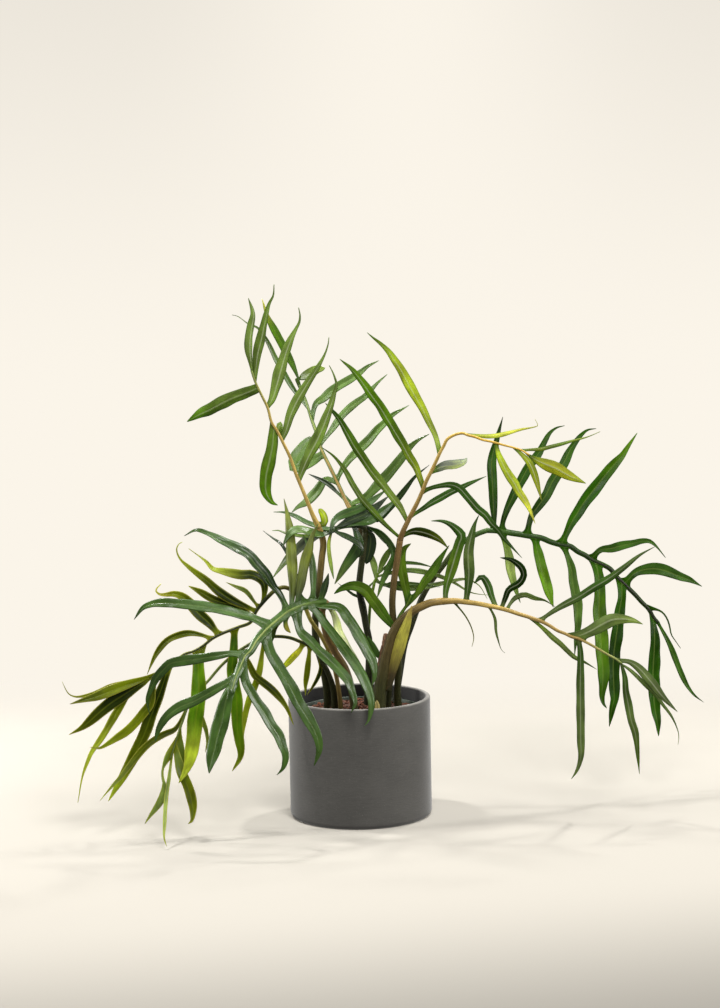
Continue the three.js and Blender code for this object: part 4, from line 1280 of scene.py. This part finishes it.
def add_nursery_pot():
    foot = PLANTER_FLOOR + POT_GAP
    collar_z = NURSERY_RIM_Z - NURSERY_RIM_DEPTH
    collar = NURSERY_RIM_RADIUS - NURSERY_RIM_STEP
    wall = NURSERY_WALL
    profile = [(0, foot), (NURSERY_FOOT_RADIUS - 1, foot), (NURSERY_FOOT_RADIUS, foot + 1),
               (collar, collar_z), (NURSERY_RIM_RADIUS - 0.4, collar_z),
               (NURSERY_RIM_RADIUS, collar_z + 0.4)]
    profile += arc(NURSERY_RIM_RADIUS - 0.9, NURSERY_RIM_Z - 0.9, 0.9, 0, 180, 6)
    profile += [(collar - wall, collar_z - 2), (NURSERY_FOOT_RADIUS - wall, foot + wall), (0, foot + wall)]
    piece = turned(profile).piece("thin_nursery_pot", [plastic_material()])
    keep(piece, "nursery_pot")


def mound_height(r):
    """The body of the bark mix's surface: a low mound that the chips lie on."""
    return SOIL_EDGE_Z + (SOIL_MIDDLE_Z - SOIL_EDGE_Z) * (1 - eased(r / SOIL_RADIUS)) - CHIPS_RISE


def add_bark():
    """Bark mix: a lumpy body under a few hundred loose chips."""
    rng = Random(29)
    edge = SOIL_RADIUS
    foot = PLANTER_FLOOR + 2 * POT_GAP + NURSERY_WALL
    foot_radius = NURSERY_FOOT_RADIUS - NURSERY_WALL - 2 * POT_GAP
    surface = [(edge * (1 - k / 24), mound_height(edge * (1 - k / 24))) for k in range(24)]
    skin = turned([(0, foot), (foot_radius, foot)] + surface + [(0, mound_height(0))])
    lumps = np.array(skin.corners, dtype=float)
    on_top = lumps[:, 2] > SOIL_EDGE_Z - 4
    for _ in range(LUMPS):
        bx, by, size = rng.uniform(-edge, edge), rng.uniform(-edge, edge), rng.uniform(4, 9)
        near = np.exp(-((lumps[:, 0] - bx) ** 2 + (lumps[:, 1] - by) ** 2) / size**2)
        lumps[:, 2] += np.where(on_top, near * 1.1, 0)
    skin.corners = list(lumps)
    skin.read["tint"] = [np.full(3, 0.55)] * len(skin.corners)
    for _ in range(CHIPS):
        r, a = (edge - 4) * math.sqrt(rng.random()), rng.uniform(0, 2 * math.pi)
        add_chip(skin, rng, (r * math.cos(a), r * math.sin(a), mound_height(r) + rng.uniform(-0.5, 2.2)))
    piece = skin.piece("bark_chips", [CHIP_BARK])
    piece.data.polygons.foreach_set("use_smooth", [False] * len(piece.data.polygons))
    keep(piece, "bark_mix")


def add_chip(skin, rng, middle):
    """One bark chip: a flat splinter with an uneven outline and broken ends."""
    length, width, depth = rng.uniform(5, 13), rng.uniform(3, 6.5), rng.uniform(1.2, 3)
    turn, tilt, roll = rng.uniform(0, 2 * math.pi), rng.gauss(0, 0.3), rng.gauss(0, 0.4)
    ahead = np.array((math.cos(turn) * math.cos(tilt), math.sin(turn) * math.cos(tilt), math.sin(tilt)))
    side = unit(np.cross((0, 0, 1), ahead))
    up = np.cross(ahead, side)
    side, up = side * math.cos(roll) + up * math.sin(roll), up * math.cos(roll) - side * math.sin(roll)
    brown = rng.uniform(0.55, 1.5)
    tint = np.array((brown, brown * rng.uniform(0.8, 1.0), brown * rng.uniform(0.7, 1.0)))
    seed = rng.uniform(0, 50)
    rows = []
    for s in (-0.5, -0.3, 0.0, 0.28, 0.5):
        swell = 0.55 + 0.45 * math.cos(math.pi * s) + rng.uniform(-0.12, 0.12)
        row = []
        for k in range(CHIP_SIDES):
            angle = 2 * math.pi * k / CHIP_SIDES + 0.3
            p = (np.array(middle) + ahead * (s * length + rng.uniform(-0.5, 0.5))
                 + side * math.cos(angle) * width / 2 * swell * rng.uniform(0.85, 1.1)
                 + up * math.sin(angle) * depth / 2 * swell * rng.uniform(0.8, 1.15))
            row.append(skin.add(p, (1, 1, 0), (angle * width / 2, s * length, seed), tint))
        rows.append(row)
    for low, high in zip(rows, rows[1:]):
        skin.band(low, high)
    skin.face(*reversed(rows[0]))
    skin.face(*rows[-1])


# Studio: a round cove, soft lamps and the camera

COVE_FLOOR = 1.25
COVE_BEND = 0.55
COVE_HEIGHT = 3.6
COVE_SIDES = 128
LAMP_TINT = (1.0, 0.99, 0.97)
PAPER = (0.496, 0.47, 0.422)
PAPER_LIGHT = (0.966, 0.912, 0.817)


def cove_material():
    """Warm white paper. Its floor is darker towards the front, as painted shade, and its tone is painted to
    even out the lamps' fall-off. Where it rises behind the plant it glows evenly, as painted light, with
    painted shade in its upper corners. Its outside is clear, so that it can be looked through from behind."""
    s = Shader("warm_paper")
    x, y, z = s.split(s.node("TexCoord", out=3))
    # Painted light: the floor is made paler where the lamps' light falls off, so that it looks evenly lit.
    painted_evening = s.math("MULTIPLY_ADD", y, -0.12, s.math("MULTIPLY_ADD", x, -0.1, 1.0))
    nearer = s.math("MULTIPLY_ADD", x, -0.22, y)
    # Painted shade: the floor darkens towards the front, and more so on the right.
    front_shade = s.range(nearer, -1.06, -0.42, 0.5, 0.985)
    front_rim = s.range(y, -1.12, -0.88, 1.0, 0.0)
    shade = s.product(painted_evening, s.math("MAXIMUM", front_shade, front_rim))
    paper = s.node("BsdfDiffuse", s.times(PAPER, shade), 1.0)
    # Painted shade: the glowing wall is dimmer in its upper corners, away from the middle.
    aside = s.range(s.math("ABSOLUTE", s.math("SUBTRACT", x, 0.12)), 0.0, 0.62, 0.1, 1.0)
    corner = s.product(s.range(z, 0.45, 1.6), aside)
    wall_light = s.math("MULTIPLY_ADD", corner, -0.16, 1.0)
    # Painted light: where it rises, the wall glows with its own light instead of being lit by the lamps.
    wall = s.node("Emission", s.times(PAPER_LIGHT, wall_light), 1.0)
    raised = s.math("MAXIMUM", s.range(z, 0.0, 0.16), s.range(y, 0.5, 1.0))
    inside = s.node("MixShader", raised, paper, wall)
    outside = s.node("NewGeometry", out=6)
    return s.finish(s.node("MixShader", outside, inside, s.node("BsdfTransparent", (1, 1, 1, 1))))


def add_cove():
    profile = [(COVE_FLOOR * k / 6, 0.0) for k in range(1, 7)]
    profile += arc(COVE_FLOOR, COVE_BEND, COVE_BEND, -90, 0, 24)[1:]
    profile.append((COVE_FLOOR + COVE_BEND, COVE_HEIGHT))
    corners, faces = [(0.0, 0.0, 0.0)], []
    for r, z in profile:
        corners += [p for _, p in around(r, z, COVE_SIDES)]
    for i in range(COVE_SIDES):
        j = (i + 1) % COVE_SIDES
        faces.append((0, 1 + i, 1 + j))
        for low in range(1, len(corners) - COVE_SIDES, COVE_SIDES):
            high = low + COVE_SIDES
            faces.append((low + i, high + i, high + j, low + j))
    cove = body("cove", corners, faces, [cove_material()])
    cove.visible_diffuse = False
    cove.visible_transmission = False
    cove.visible_glossy = False
    cove.visible_shadow = False


def lamp(name, place_m, aim, size, watts):
    """A rectangular lamp at a place, aimed at another, both in metres."""
    light = bpy.data.lights.new(name, "AREA")
    light.shape = "RECTANGLE"
    light.size, light.size_y = size
    light.energy = watts
    light.color = LAMP_TINT
    thing = linked(name, light)
    thing.location = place_m
    ahead = np.array(aim) - np.array(place_m)
    yaw = math.atan2(ahead[0], -ahead[1])
    pitch = math.atan2(math.hypot(ahead[0], ahead[1]), -ahead[2])
    thing.rotation_euler = (pitch, 0, yaw + math.pi)
    return thing


def add_lights():
    world = bpy.data.worlds.new("studio_fill")
    bpy.context.scene.world = world
    world.use_nodes = True
    colour, strength = world.node_tree.nodes["Background"].inputs[:2]
    colour.default_value = (1.0, 0.985, 0.955, 1)
    strength.default_value = 0.28
    lamp("left_overhead", (-0.95, 0.30, 2.40), (0.0, 0.0, 0.2), (0.16, 0.16), 44.0)
    lamp("right_overhead", (0.79, 0.85, 2.35), (0.0, 0.0, 0.2), (0.16, 0.16), 40.0)
    lamp("left_side", (-1.45, -0.1, 0.7), (0.0, 0.0, 0.3), (0.5, 0.9), 12.0)
    lamp("right_side", (1.45, -0.1, 0.7), (0.0, 0.0, 0.3), (0.5, 0.9), 12.0)
    lamp("front_fill", (0.9, -2.4, 1.7), (0.0, 0.0, 0.3), (1.0, 1.0), 26.0)
    lamp("front_overhead", (0.25, -1.25, 2.05), (0.0, 0.0, 0.35), (0.7, 0.35), 24.0)
    backdrop = lamp("backdrop_glow", (0.0, 1.6, 1.0), (0.0, 0.0, 0.5), (3.2, 1.8), 16.0)
    backdrop.visible_camera = False


def add_camera():
    data = bpy.data.cameras.new("camera")
    data.sensor_width = SENSOR_MM
    data.lens = LENS_MM
    camera = linked("camera", data)
    camera.location = EYE * MM
    camera.rotation_mode = "ZYX"
    camera.rotation_euler = (math.radians(90 - LOOK_DOWN_DEG), 0, math.radians(-LEAN_DEG))
    bpy.context.scene.camera = camera


add_camera()
add_lights()
add_cove()
add_planter()
add_nursery_pot()
add_bark()
add_main_stem()
add_sheath()
add_stub()
add_leaves()
bpy.context.scene.view_settings.view_transform = "Standard"

bpy.context.view_layer.update()
